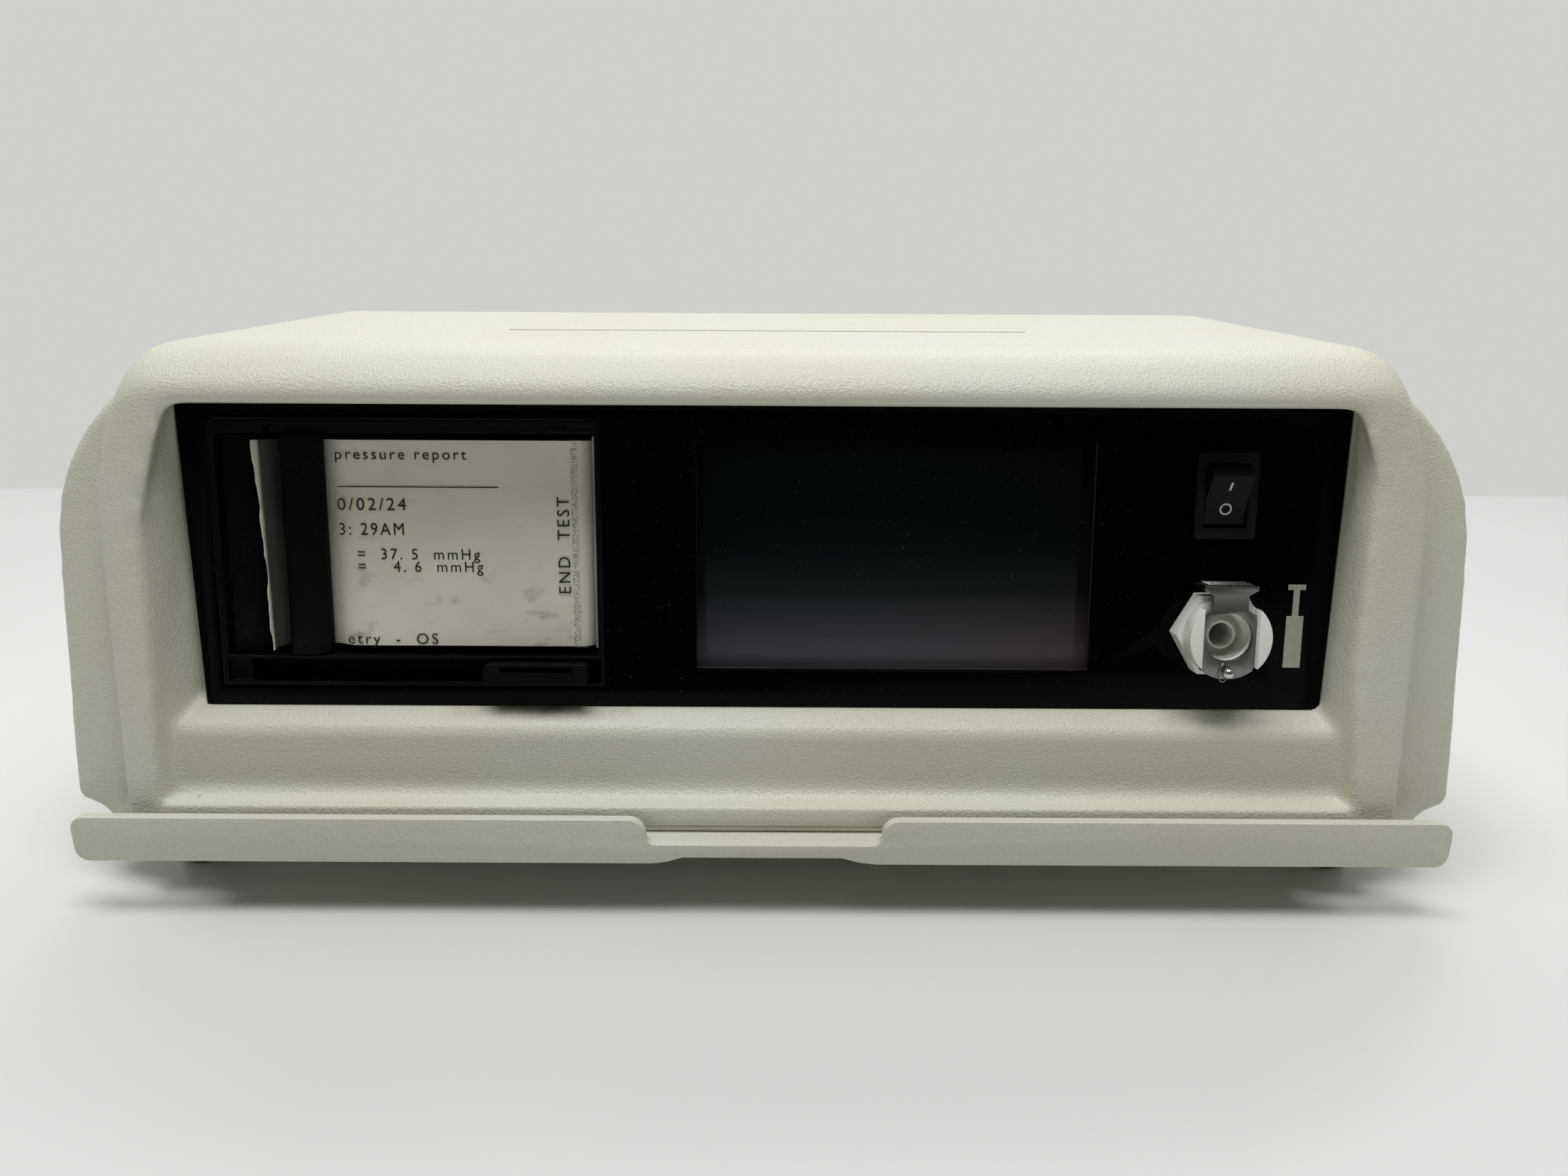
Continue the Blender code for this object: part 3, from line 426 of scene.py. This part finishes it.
ink = Finish("grey_green_ink", (0.36, 0.37, 0.31), 0.55)
ink.colour(ink.ramp(ink.noise(700.0, 2.0), (0.3, (0.33, 0.34, 0.28)), (0.7, (0.40, 0.41, 0.34))))
ink.relief(ink.noise(1800.0, 1.0), 0.4, 0.00003)
PICTOGRAM = [
    (-2.05, -26.6), (2.05, -26.6), (2.05, -14.0), (0.75, -14.0), (0.75, -7.7), (2.1, -7.7),
    (2.1, -6.4), (-2.1, -6.4), (-2.1, -7.7), (-0.75, -7.7), (-0.75, -14.0), (-2.05, -14.0),
]
flat_print("probe_pictogram", PICTOGRAM, 0.00004, ink.material, "black_gloss_panel",
           Matrix.Translation((0.1269, 0.0006, 0.00003)))


# ---------------------------------------------------------------- display
# Unlit liquid-crystal module behind a gasket; its polariser is dark teal, with a painted grey-lilac
# reflection near the bottom edge.
# The glass sits a few millimetres back, so the panel's cut edge shows round it.
lcd = Finish("unlit_display", (0.01, 0.016, 0.017), 0.10, specular=0.10)
rise = lcd.spread(lcd.axis("Z"), 0.0525, 0.1100)
# The glass is painted lighter and grey-lilac towards its bottom edge: a painted reflection.
teal_and_reflection = lcd.ramp(
    rise,
    (0.05, (0.120, 0.100, 0.118)), (0.16, (0.050, 0.042, 0.052)),
    (0.34, (0.0060, 0.0100, 0.0115)), (1.0, (0.0012, 0.0040, 0.0038)),
)
side = lcd.ramp(
    lcd.spread(lcd.axis("X"), -0.016, 0.079),
    (0.0, (0.75, 1.0, 1.05)), (0.45, (0.9, 1.15, 1.15)), (1.0, (1.08, 0.92, 0.95)),
)
motes = lcd.ramp(lcd.noise(2100.0, 0.0), (0.820, grey(0.0)), (0.855, grey(0.7)))
lcd.colour(lcd.mix(motes, lcd.mix(1.0, teal_and_reflection, side, "MULTIPLY"), grey(0.10)))
lcd.roughness(lcd.ramp(lcd.noise(35.0, 3.0), (0.3, grey(0.08)), (0.8, grey(0.20))))
glass = softened(node_copy("display_glass", "display_pane"), 0.0003, 2)
finish(glass, lcd.material, "case", "display_glass", "display_glass")
gasket = softened(node_copy("display_gasket", "display_seal"), 0.0002, 2)
finish(gasket, black, "case", "black_plastic", "display_gasket")


# ---------------------------------------------------------------- mains rocker switch
# Snap-in switch of moulded black plastic: a thin satin frame and a rocker with its top end proud.
# The on and off marks are printed on the rocker's face in white ink and tilt with it.
SWITCH_AT = (0.1083, 0.0152)
switch_black = matte_black("switch_black", 0.003, dust=0.05, grain=2200.0, shine=0.14)
frame_ring = softened(node_copy("rocker_bezel", "switch_frame"), 0.00035, 3)
finish(frame_ring, switch_black, "case", "black_plastic", "rocker_bezel")

ROCKER = [
    (-7.2, -2.4), (-3.0, -4.4), (3.0, -4.4), (7.2, -2.4), (7.15, 0.6), (4.9, 4.5), (4.2, 4.25),
    (3.0, 3.15), (1.6, 2.1), (0.0, 1.2), (-2.0, 0.45), (-4.2, 0.0), (-6.6, -0.2), (-7.2, -0.7),
]
ROCKER_HALF = 0.0049
rocker = drawn_out(
    "switch_rocker", [(-ROCKER_HALF, s * 0.001, n * 0.001) for s, n in ROCKER], (2 * ROCKER_HALF, 0, 0)
)
on_panel(rocker, Matrix.Translation((*SWITCH_AT, 0.0006)))
softened(rocker, 0.00030, 3, 26.0, 24.0)
finish(rocker, switch_black, "rocker", "black_plastic", "rocker_button")

white_ink = Finish("white_mark_ink", grey(0.66), 0.5)
white_ink.colour(white_ink.ramp(white_ink.noise(1500.0, 2.0), (0.35, grey(0.50)), (0.6, grey(0.72))))
white_ink.relief(white_ink.noise(2400.0, 1.0), 0.3, 0.00002)


def switch_mark(piece, s, n, lean):
    """Lays a mark on the rocker's face, up the slope and out in millimetres, leaned with the face."""
    spot = Matrix.Translation((SWITCH_AT[0], SWITCH_AT[1] + s * 0.001, n * 0.001))
    on_panel(piece, spot @ Matrix.Rotation(math.radians(lean), 4, "X"))
    pick(piece)
    bpy.ops.object.shade_smooth_by_angle(angle=math.radians(40))
    return finish(piece, white_ink.material, "rocker", "black_plastic")


def resized(piece, x, y, z):
    """Stretches a piece that still lies at the origin."""
    bpy.ops.object.mode_set(mode="EDIT")
    bpy.ops.mesh.select_all(action="SELECT")
    bpy.ops.transform.resize(value=(x, y, z))
    bpy.ops.object.mode_set(mode="OBJECT")
    return piece


switch_mark(block("mark_on", (0.00052, 0.0024, 0.00016), 0.00006, 2), 2.35, 3.28, 38.0)
clear_selection()
bpy.ops.mesh.primitive_torus_add(
    major_radius=0.00125, minor_radius=0.00021, major_segments=48, minor_segments=10
)
switch_mark(resized(added("mark_off"), 1, 1, 0.35), -3.1, 0.84, 13.0)


# ---------------------------------------------------------------- probe coupling
# White acetal quick coupling: hexagonal flange bored deep round an inner spout, sleeve with two cheeks,
# and a sprung steel thumb plate. Pressing the plate's ribbed tab lets go the plug of the probe's air tube.
acetal_skin = Finish("white_acetal", (0.80, 0.80, 0.755), 0.30)
acetal_skin.colour(
    acetal_skin.ramp(acetal_skin.noise(90.0, 3.0), (0.3, (0.84, 0.83, 0.77)), (0.7, (0.90, 0.90, 0.86)))
)
acetal_skin.roughness(acetal_skin.ramp(acetal_skin.noise(900.0, 2.0), (0.3, grey(0.24)), (0.7, grey(0.38))))
acetal_skin.relief(acetal_skin.noise(700.0, 2.0), 0.12, 0.00006)
acetal_skin.shader.inputs["Subsurface Weight"].default_value = 0.12
acetal_skin.shader.inputs["Subsurface Radius"].default_value = (0.0012, 0.0011, 0.0009)
acetal = acetal_skin.material
flange = softened(node_copy("coupler_body", "coupling_flange"), 0.0009, 3, 40.0)
COUPLING_AT = (0.1077, -0.0171)
clear_selection()
bpy.ops.mesh.primitive_cylinder_add(vertices=48, radius=0.0053, depth=0.0060)
carved(flange, on_panel(added("seat_drill"), Matrix.Translation((*COUPLING_AT, 0.0040))), "seat")
bpy.ops.object.shade_smooth_by_angle(angle=math.radians(32))
finish(flange, acetal, "case", "white_acetal", "coupler_body")
sleeve = softened(node_copy("coupler_sleeve", "coupling_sleeve"), 0.00035, 3, 30.0)
finish(sleeve, acetal, "case", "white_acetal", "coupler_sleeve")
clear_selection()
bpy.ops.mesh.primitive_cylinder_add(vertices=48, radius=0.0034, depth=0.0036, end_fill_type="NOTHING")
spout = added("inner_spout")
applied(spout, "wall", "SOLIDIFY", thickness=0.00062, offset=-1.0)
softened(spout, 0.00018, 3)
on_panel(spout, Matrix.Translation((*COUPLING_AT, 0.0027)))
finish(spout, acetal, "case", "white_acetal")
nut = softened(node_copy("coupler_nut", "coupling_nut"), 0.0004, 2)
finish(nut, acetal, "case", "white_acetal", "coupler_nut")

steel = plated("brushed_steel", (0.25, 0.245, 0.23), 0.30, run=(1.0, 1.0, 7.0), grain=1300.0)
latch = softened(node_copy("coupler_latch", "thumb_plate"), 0.00022, 3)
finish(latch, steel, "thumb_latch", "stainless_steel", "coupler_latch")

TAB_TOP = COUPLING_AT[1] + 0.01228
for index in range(5):
    rib = block(f"thumb_rib_{index + 1}", (0.0104, 0.00055, 0.00055), 0.0002, 3)
    on_panel(rib, Matrix.Translation((COUPLING_AT[0], TAB_TOP, 0.0037 + index * 0.0010)))
    finish(rib, steel, "thumb_latch", "stainless_steel")

# The stop pin's domed end: a little more than half a ball, drawn out into a short shank
clear_selection()
bpy.ops.mesh.primitive_uv_sphere_add(segments=28, ring_count=16, radius=0.00135)
pin = added("stop_pin")
bpy.ops.object.mode_set(mode="EDIT")
bpy.ops.mesh.select_all(action="SELECT")
bpy.ops.mesh.bisect(plane_co=(0, 0, -0.0003), plane_no=(0, 0, 1), clear_inner=True, use_fill=True)
bpy.ops.mesh.select_all(action="DESELECT")
bpy.ops.object.mode_set(mode="OBJECT")
for face in pin.data.polygons:
    face.select = face.normal.z < -0.9
bpy.ops.object.mode_set(mode="EDIT")
bpy.ops.mesh.extrude_region_move(TRANSFORM_OT_translate={"value": (0, 0, -0.0006)})
bpy.ops.object.mode_set(mode="OBJECT")
on_panel(pin, Matrix.Translation((COUPLING_AT[0], COUPLING_AT[1] - 0.0080, 0.0102)))
pick(pin)
bpy.ops.object.shade_smooth_by_angle(angle=math.radians(40))
bright = plated("bright_pin", (0.70, 0.69, 0.66), 0.16, grain=500.0)
finish(pin, bright, "case", "stainless_steel", "latch_pin")

clear_selection()
bpy.ops.mesh.primitive_torus_add(
    major_radius=0.0015, minor_radius=0.00016, major_segments=40, minor_segments=8
)
clip = resized(added("pin_spring_clip"), 0.72, 1.4, 1.0)
on_panel(clip, Matrix.Translation((COUPLING_AT[0] - 0.0009, COUPLING_AT[1] - 0.0081, 0.00935)))
pick(clip)
bpy.ops.object.shade_smooth()
finish(clip, steel, "case", "stainless_steel")


# ---------------------------------------------------------------- strip-chart printer
# Black moulded bay with a paper bed, a tear bar and an exit plate at the left, and a clear edge strip.
# A slotted tab lets the mechanism out; paper dust lies in the grain.
dusty = matte_black("dusty_black", 0.0018, dust=0.10, grain=1300.0, shine=0.08)
dustier = matte_black("dustiest_black", 0.0016, dust=0.30, grain=1300.0, shine=0.07)
PRINTER = (
    ("printer_frame", "printer_bay", dusty, 0.00035),
    ("paper_table", "paper_bed", dusty, 0.0003),
    ("tear_bar", "tear_edge", dustier, 0.00035),
    ("exit_plate", "exit_cover", dustier, 0.0003),
)
for node, name, look, width in PRINTER:
    finish(softened(node_copy(node, name), width, 3), look, "case", "dusty_black_plastic", node)
tab = softened(node_copy("printer_latch", "release_tab"), 0.00035, 3)
finish(tab, dusty, "printer_tab", "dusty_black_plastic", "printer_latch")

catch = block("bay_catch", (0.0036, 0.0016, 0.0020), 0.0003, 3)
on_panel(catch, Matrix.Translation((-0.0482, 0.0298, -0.0008)))
finish(catch, dusty, "case", "dusty_black_plastic")

clear = Finish("clear_edge_strip", (0.50, 0.52, 0.52), 0.16, specular=0.6)
streaks = clear.noise(160.0, 2.0, 0.5, clear.stretched(1.0, 1.0, 0.25))
clear.colour(clear.ramp(streaks, (0.3, (0.22, 0.235, 0.235)), (0.7, (0.50, 0.52, 0.52))))
clear.relief(clear.noise(300.0, 1.0), 0.2, 0.00005)
strip = softened(node_copy("edge_strip", "bay_edge_strip"), 0.0001, 2)
finish(strip, clear.material, "case", "clear_strip", "edge_strip")


# ---------------------------------------------------------------- chart paper
# One strip of uncoated chart paper: up from the roll, round the guide roller, flat over the bed,
# round the drive roller and out past the tear bar, where its end is torn in an uneven line.
PAPER_LOW, PAPER_HIGH = -0.0221, 0.0271
PAPER_THICK = 0.00016
ACROSS = 64
DRIVE_AT = (-107.4, -9.4)
GUIDE_AT = (-44.4, -6.2)
BED_START, BED_LONG, BED_OUT = -95.0, 43.0, -1.9
TEAR = [(1.0, 0.5), (2.7, 0.35), (5.9, 0.22), (11.3, 0.10), (19.7, 0.06)]
TEAR_REACH = (0.36, 0.18, 0.05)
TEAR_SKEW = (1.3, 0.7, 0.25)


def turn_points(centre, radius, start, end, steps):
    """Points of a turn round a roller, in millimetres across and out."""
    angles = [math.radians(start + (end - start) * i / steps) for i in range(steps + 1)]
    return [(centre[0] + radius * math.cos(a), centre[1] + radius * math.sin(a)) for a in angles]


path = [
    (-116.2, 4.4), (-116.1, 2.8), (-116.4, 1.2), (-115.9, -0.4),
    (-115.4, -2.0), (-114.6, -4.6), (-113.2, -6.4),
]
path += turn_points(DRIVE_AT, 4.8, 148, 62, 6)
path += [(-102.0, -4.0), (-99.0, -2.1), (BED_START, BED_OUT)]
path += [(BED_START + BED_LONG * i / 22, BED_OUT) for i in range(1, 23)]
path += turn_points(GUIDE_AT, 4.1, 90, -66, 14)
path += [(-52.0, -12.6), (-60.0, -15.2)]
clear_selection()
bpy.ops.mesh.primitive_grid_add(x_subdivisions=len(path) - 1, y_subdivisions=ACROSS, size=1.0)
paper = added("chart_strip")
for vertex in paper.data.vertices:
    column = round((vertex.co.x + 0.5) * (len(path) - 1))
    share = vertex.co.y + 0.5
    x, n = path[column]
    if column < len(TEAR_REACH):
        wave = sum(size * math.sin(turns * 6.283 * share + turns * 1.7) for turns, size in TEAR)
        slope = (path[0][0] - path[2][0], path[0][1] - path[2][1])
        x += slope[0] * wave * TEAR_REACH[column]
        n += slope[1] * wave * TEAR_REACH[column]
        x += TEAR_SKEW[column] * (0.5 - share) * 1.4
    if -94.0 < x < -53.0:
        n += 0.10 * math.sin(share * 9.0 + x * 0.11) * math.sin((x - BED_START) / 42.0 * math.pi)
    vertex.co = (x * 0.001, PAPER_LOW + (PAPER_HIGH - PAPER_LOW) * share, n * 0.001)
on_panel(paper, Matrix.Identity(4))
applied(paper, "sheet", "SOLIDIFY", thickness=PAPER_THICK, offset=0.0)
pick(paper)
bpy.ops.object.shade_smooth_by_angle(angle=math.radians(35))


def out_of_panel(look):
    """How far out along the panel's own direction each point lies, as a value of the material."""
    facing = tuple(PANEL_AT.to_3x3().col[2])
    reach = look.tree.nodes.new("ShaderNodeVectorMath")
    reach.operation = "DOT_PRODUCT"
    reach.inputs[1].default_value = facing
    look.tree.links.new(look.place, reach.inputs[0])
    return reach.outputs["Value"], PANEL_AT.translation.dot(Vector(facing))


stock = Finish("chart_paper", (0.64, 0.615, 0.52), 0.78, specular=0.25)
fibre = stock.noise(900.0, 3.0, 0.7)
base = stock.ramp(
    stock.noise(38.0, 3.0, 0.6), (0.30, (0.690, 0.655, 0.545)), (0.60, (0.760, 0.735, 0.630))
)
stain = stock.ramp(
    stock.noise(120.0, 4.0, 0.65, stock.stretched(1.0, 1.0, 1.7)),
    (0.57, grey(0.0)), (0.70, grey(0.55)),
)
low = stock.ramp(stock.spread(stock.axis("Z"), 0.062, 0.092), (0.0, grey(1.0)), (1.0, grey(0.15)))
base = stock.stained_or_shaded(base, stain, low, (0.33, 0.28, 0.21))
edge = stock.ramp(
    stock.spread(stock.axis("X"), -0.0470, -0.0405),
    (0.0, grey(0.0)), (0.20, grey(0.0)), (0.24, grey(0.85)),
    (0.45, grey(0.55)), (0.50, grey(0.0)), (1.0, grey(0.0)),
)
dots = stock.ramp(stock.noise(2600.0, 1.0), (0.46, grey(0.0)), (0.54, grey(1.0)))
base = stock.stained_or_shaded(base, edge, dots, (0.24, 0.24, 0.24))
# Where the paper leaves past the tear bar, it is painted almost black close to the panel: painted shade of
# the tear bar.
depth, face = out_of_panel(stock)
tear_bar_shade = stock.ramp(
    stock.spread(depth, face + 0.0002, face + 0.0048),
    (0.0, grey(0.94)), (0.55, grey(0.90)), (0.82, grey(0.0)),
)
end = stock.ramp(stock.spread(stock.axis("X"), -0.1125, -0.1090), (0.0, grey(1.0)), (1.0, grey(0.0)))
base = stock.stained_or_shaded(base, tear_bar_shade, end, (0.020, 0.019, 0.016))
stock.colour(base)
stock.relief(fibre, 0.35, 0.00010)
finish(paper, stock.material, "case", "chart_paper", "paper_strip")

roll = softened(node_copy("paper_roll", "paper_reel"), 0.0004, 2)
wound = Finish("wound_paper", (0.70, 0.685, 0.63), 0.8, specular=0.2)
turns = wound.noise(500.0, 2.0, 0.6, wound.stretched(1.0, 1.0, 0.1))
wound.colour(wound.ramp(turns, (0.3, (0.55, 0.53, 0.47)), (0.7, (0.72, 0.70, 0.65))))
wound.relief(wound.noise(700.0, 2.0), 0.4, 0.0001)
finish(roll, wound.material, "supply_roll", "chart_paper", "paper_roll")

# Readings in plain type: across and up on the panel and type size in millimetres, turn, and width
type_ink = Finish("printer_ink", grey(0.015), 0.6, specular=0.2)
type_ink.colour(type_ink.ramp(type_ink.noise(1700.0, 1.0), (0.35, grey(0.008)), (0.7, grey(0.030))))
type_ink.relief(type_ink.noise(2000.0, 1.0), 0.2, 0.00001)
LINE_LIFT = -0.00165
TYPE_SCALE, TYPE_SPACING = 0.00130, 1.26
PRINT = (
    ("pressure report", -101.0, 22.6, 2.75, 0, 1.05),
    ("0/02/24", -101.0, 10.6, 3.2, 0, 1.03),
    ("3: 29AM", -101.0, 4.7, 3.2, 0, 0.90),
    ("=  37. 5  mmHg", -96.9, -1.1, 2.85, 0, 0.98),
    ("=    4. 6  mmHg", -96.9, -4.1, 2.85, 0, 0.98),
    ("etry  -  OS", -100.3, -21.7, 2.9, 0, 1.03),
    ("END  TEST", -46.1, -9.4, 3.2, 90, 0.97),
)
for index, (words, x, s, size, turn, wide) in enumerate(PRINT):
    clear_selection()
    bpy.ops.object.text_add()
    line = bpy.context.object
    line.data.body = words
    line.data.size = size * TYPE_SCALE
    line.data.space_character = TYPE_SPACING
    line.data.resolution_u = 3
    line.name = f"print_line_{index + 1}"
    bpy.ops.object.convert(target="MESH")
    line = bpy.context.object
    spot = Matrix.Translation((x * 0.001, s * 0.001, LINE_LIFT))
    spot = spot @ Matrix.Rotation(math.radians(turn), 4, "Z")
    on_panel(line, spot @ Matrix.Diagonal((wide, 1.0, 1.0, 1.0)))
    finish(line, type_ink.material, "case", "chart_paper")
RULE = [(-100.6, 16.0), (-62.6, 16.0), (-62.6, 16.25), (-100.6, 16.25)]
flat_print("print_rule", RULE, 0.00001, type_ink.material, "chart_paper",
           Matrix.Translation((0, 0, LINE_LIFT)))


# ---------------------------------------------------------------- rollers, feed drive and print head
# Plated guide roller, rubber drive roller, brass gear pair, feed motor, and an aluminium thermal head.
# They sit in the bay and behind it; the display's frame and the switch's contacts are finished with them.
brass = plated("machined_brass", (0.66, 0.48, 0.20), 0.32, grain=700.0)
aluminium = plated("satin_aluminium", (0.66, 0.66, 0.67), 0.38, grain=500.0)
INSIDE = (
    ("guide_roller", "guide_spool", zinc, "case", "zinc_plate", 0.0005),
    ("roll_spindle", "reel_spindle", black, "case", "black_plastic", 0.0004),
    ("drive_roller", "drive_spool", rubber, "platen", "black_rubber", 0.0004),
    ("print_head", "thermal_head", aluminium, "case", "aluminium", 0.0005),
    ("feed_motor", "stepper_motor", zinc, "case", "zinc_plate", 0.0008),
    ("feed_gear", "drive_gear", brass, "feed_wheel", "brass", 0.0002),
    ("motor_pinion", "motor_gear", brass, "pinion", "brass", 0.0002),
    ("switch_contacts", "switch_terminals", brass, "case", "brass", 0.0006),
    ("display_module", "display_frame", zinc, "case", "zinc_plate", 0.0004),
)
for node, name, look, body, slot, width in INSIDE:
    finish(softened(node_copy(node, name), width, 2), look, body, slot, node)


# ---------------------------------------------------------------- air supply, board and power supply
# Diaphragm pump on two rubber isolators, its filter, the pressure block and the hose to the coupling,
# with the lacquered board and the sheet-steel power supply beside them.
board_lacquer = Finish("board_lacquer", (0.02, 0.12, 0.06), 0.35)
copper = board_lacquer.noise(300.0, 1.0)
board_lacquer.colour(board_lacquer.ramp(copper, (0.45, (0.012, 0.085, 0.04)), (0.55, (0.03, 0.17, 0.08))))
board_lacquer.relief(board_lacquer.noise(600.0, 1.0), 0.3, 0.0001)
hose_skin = Finish("hose_grey", (0.30, 0.32, 0.33), 0.5)
hose_tone = hose_skin.noise(200.0, 2.0)
hose_skin.colour(hose_skin.ramp(hose_tone, (0.3, (0.25, 0.27, 0.28)), (0.7, (0.34, 0.36, 0.37))))
hose_skin.relief(hose_skin.noise(900.0, 2.0), 0.3, 0.00008)
WORKS = (
    ("pump_bracket", "pump_shelf", zinc, "case", "zinc_plate", 0.0003),
    ("pump_isolator_1", "isolator_a", rubber, "case", "black_rubber", 0.0006),
    ("pump_isolator_2", "isolator_b", rubber, "case", "black_rubber", 0.0006),
    ("pump_motor", "air_motor", zinc, "case", "zinc_plate", 0.0006),
    ("pump_crank", "pump_cam", brass, "crank", "brass", 0.0004),
    ("pump_head", "diaphragm_head", aluminium, "case", "aluminium", 0.0008),
    ("air_filter", "inlet_filter", hose_skin.material, "case", "hose_grey", 0.0008),
    ("pressure_block", "valve_block", aluminium, "case", "aluminium", 0.0006),
    ("main_board", "circuit_card", board_lacquer.material, "case", "circuit_board", 0.0002),
    ("power_supply", "supply_box", zinc, "case", "zinc_plate", 0.0008),
    ("air_hose", "pressure_hose", hose_skin.material, "case", "hose_grey", 0.0001),
)
for node, name, look, body, slot, width in WORKS:
    finish(softened(node_copy(node, name), width, 2, 40.0), look, body, slot, node)


# ---------------------------------------------------------------- rear panel
# Satin aluminium plate, screwed into the housing's rear window, with the mains inlet and its fuse drawer,
# a data socket with its pins and posts, and a row of vent slots.
plate = softened(node_copy("rear_panel", "rear_plate"), 0.0003, 2)
rear_metal = plated("brushed_rear_plate", (0.62, 0.62, 0.63), 0.36, run=(0.12, 1.0, 1.0), grain=1200.0)
finish(plate, rear_metal, "case", "aluminium", "rear_panel")
inlet = softened(node_copy("mains_inlet", "power_inlet"), 0.0006, 3)
finish(inlet, black, "case", "black_plastic", "mains_inlet")
drawer = softened(node_copy("fuse_drawer", "fuse_tray_front"), 0.0005, 3)
finish(drawer, black, "fuse_tray", "black_plastic", "fuse_drawer")
port = softened(node_copy("data_port", "data_socket"), 0.0005, 3)
finish(port, zinc, "case", "zinc_plate", "data_port")
REAR_FACE = 0.12485
REAR_SCREWS = ((-0.0955, 0.0295), (0.0955, 0.0295), (-0.0955, 0.0785), (0.0955, 0.0785))
POSTS = (-0.0628, -0.0372)
PIN_ROWS = ((0.0542, 5), (0.0518, 4))
PIN_PITCH = 0.00275
SOCKET_X = -0.05
VENT_COUNT, VENT_START, VENT_PITCH = 12, -0.022, 0.0048


def rear_rod(name, sides, radius, length, at, edge, look, slot):
    """A short rod with softened ends that lies front to back."""
    clear_selection()
    bpy.ops.mesh.primitive_cylinder_add(
        vertices=sides, radius=radius, depth=length, location=at, rotation=(math.radians(90), 0, 0)
    )
    rod = added(name)
    bpy.ops.object.transform_apply(location=True, rotation=True, scale=True)
    softened(rod, edge, 2)
    finish(rod, look, "case", slot)


for index, (x, z) in enumerate(REAR_SCREWS):
    head = screw_head(f"rear_screw_{index + 1}", 0.0028, 0.0012, (x, REAR_FACE - 0.0005, z), (0, 1, 0))
    finish(head, zinc, "case", "zinc_plate")
for index, x in enumerate(POSTS):
    rear_rod(f"socket_post_{index + 1}", 6, 0.0027, 0.004, (x, 0.1229, 0.053), 0.0004, zinc, "zinc_plate")
pins = 0
for row, count in PIN_ROWS:
    for column in range(count):
        pins += 1
        at = (SOCKET_X + (column - (count - 1) / 2) * PIN_PITCH, 0.1188, row)
        rear_rod(f"socket_pin_{pins}", 16, 0.0005, 0.0052, at, 0.0002, brass, "brass")
for index in range(VENT_COUNT):
    at = (VENT_START + index * VENT_PITCH, REAR_FACE - 0.00025, 0.054)
    louvre = block(f"vent_slot_{index + 1}", (0.0022, 0.0006, 0.028), 0.00024, 3, at)
    finish(louvre, black, "case", "black_plastic")


# ---------------------------------------------------------------- table, light and camera
# A plain pale table that ends a third of a metre behind the case's middle. One soft lamp hangs above and
# in front of the case, a weaker one behind it. The room is pale behind and dim in front, so the gloss panel
# stays black.
TABLE_SIZE, TABLE_Y = 9.0, -4.16
clear_selection()
bpy.ops.mesh.primitive_plane_add(size=TABLE_SIZE, location=(0, TABLE_Y, 0))
table = added("pale_table")
top = Finish("pale_table_top", grey(0.78), 0.30)
top.colour(top.ramp(top.noise(6.0, 2.0), (0.3, (0.750, 0.750, 0.745)), (0.7, (0.765, 0.765, 0.760))))
top.roughness(top.ramp(top.noise(9.0, 1.0), (0.3, grey(0.295)), (0.7, grey(0.305))))
table.data.materials.append(top.material)

TOWARD_BACK = (0.0, 0.970, 0.243)
room = bpy.data.worlds.new("soft_room")
bpy.context.scene.world = room
room.use_nodes = True
sky = room.node_tree
look_to = sky.nodes.new("ShaderNodeTexCoord")
toward = sky.nodes.new("ShaderNodeVectorMath")
toward.operation = "DOT_PRODUCT"
toward.inputs[1].default_value = TOWARD_BACK
sky.links.new(look_to.outputs["Generated"], toward.inputs[0])
shift = sky.nodes.new("ShaderNodeMapRange")
shift.inputs["From Min"].default_value = -1.0
shift.inputs["From Max"].default_value = 1.0
sky.links.new(toward.outputs["Value"], shift.inputs["Value"])
tone = sky.nodes.new("ShaderNodeValToRGB")
marks = tone.color_ramp.elements
marks[0].position, marks[0].color = 0.10, (0.070, 0.068, 0.060, 1.0)
marks[1].position, marks[1].color = 0.80, (0.62, 0.622, 0.60, 1.0)
marks.new(0.45).color = (0.14, 0.138, 0.125, 1.0)
sky.links.new(shift.outputs["Result"], tone.inputs["Fac"])
sky.links.new(tone.outputs["Color"], sky.nodes["Background"].inputs["Color"])
sky.nodes["Background"].inputs["Strength"].default_value = 1.0


def lamp(name, wide, deep, power, place, aim):
    """A white rectangular lamp, its power in watts, turned to what it lights."""
    light = bpy.data.lights.new(name, "AREA")
    light.shape = "RECTANGLE"
    light.size, light.size_y = wide, deep
    light.energy = power
    holder = bpy.data.objects.new(name, light)
    bpy.context.scene.collection.objects.link(holder)
    holder.location = place
    holder.rotation_euler = (Vector(aim) - Vector(place)).to_track_quat("-Z", "Y").to_euler()


lamp("hanging_softbox", 0.9, 0.35, 9.8, (-0.06, -0.28, 1.15), (0.0, -0.1, 0.05))
lamp("back_softbox", 1.2, 0.5, 4.8, (0.1, 0.75, 1.0), (0.0, 0.05, 0.08))

CAMERA_AT, TILT_UP, ROLL = (0.0049, -0.348, 0.1522), 72.5, 0.3
lens = bpy.data.cameras.new("viewpoint")
lens.lens = 24.97
lens.sensor_width = 36.0
lens.clip_start = 0.01
camera = bpy.data.objects.new("viewpoint", lens)
bpy.context.scene.collection.objects.link(camera)
camera.matrix_world = (
    Matrix.Translation(CAMERA_AT)
    @ Matrix.Rotation(math.radians(TILT_UP), 4, "X")
    @ Matrix.Rotation(math.radians(ROLL), 4, "Z")
)
bpy.context.scene.camera = camera
bpy.context.scene.view_settings.view_transform = "Standard"
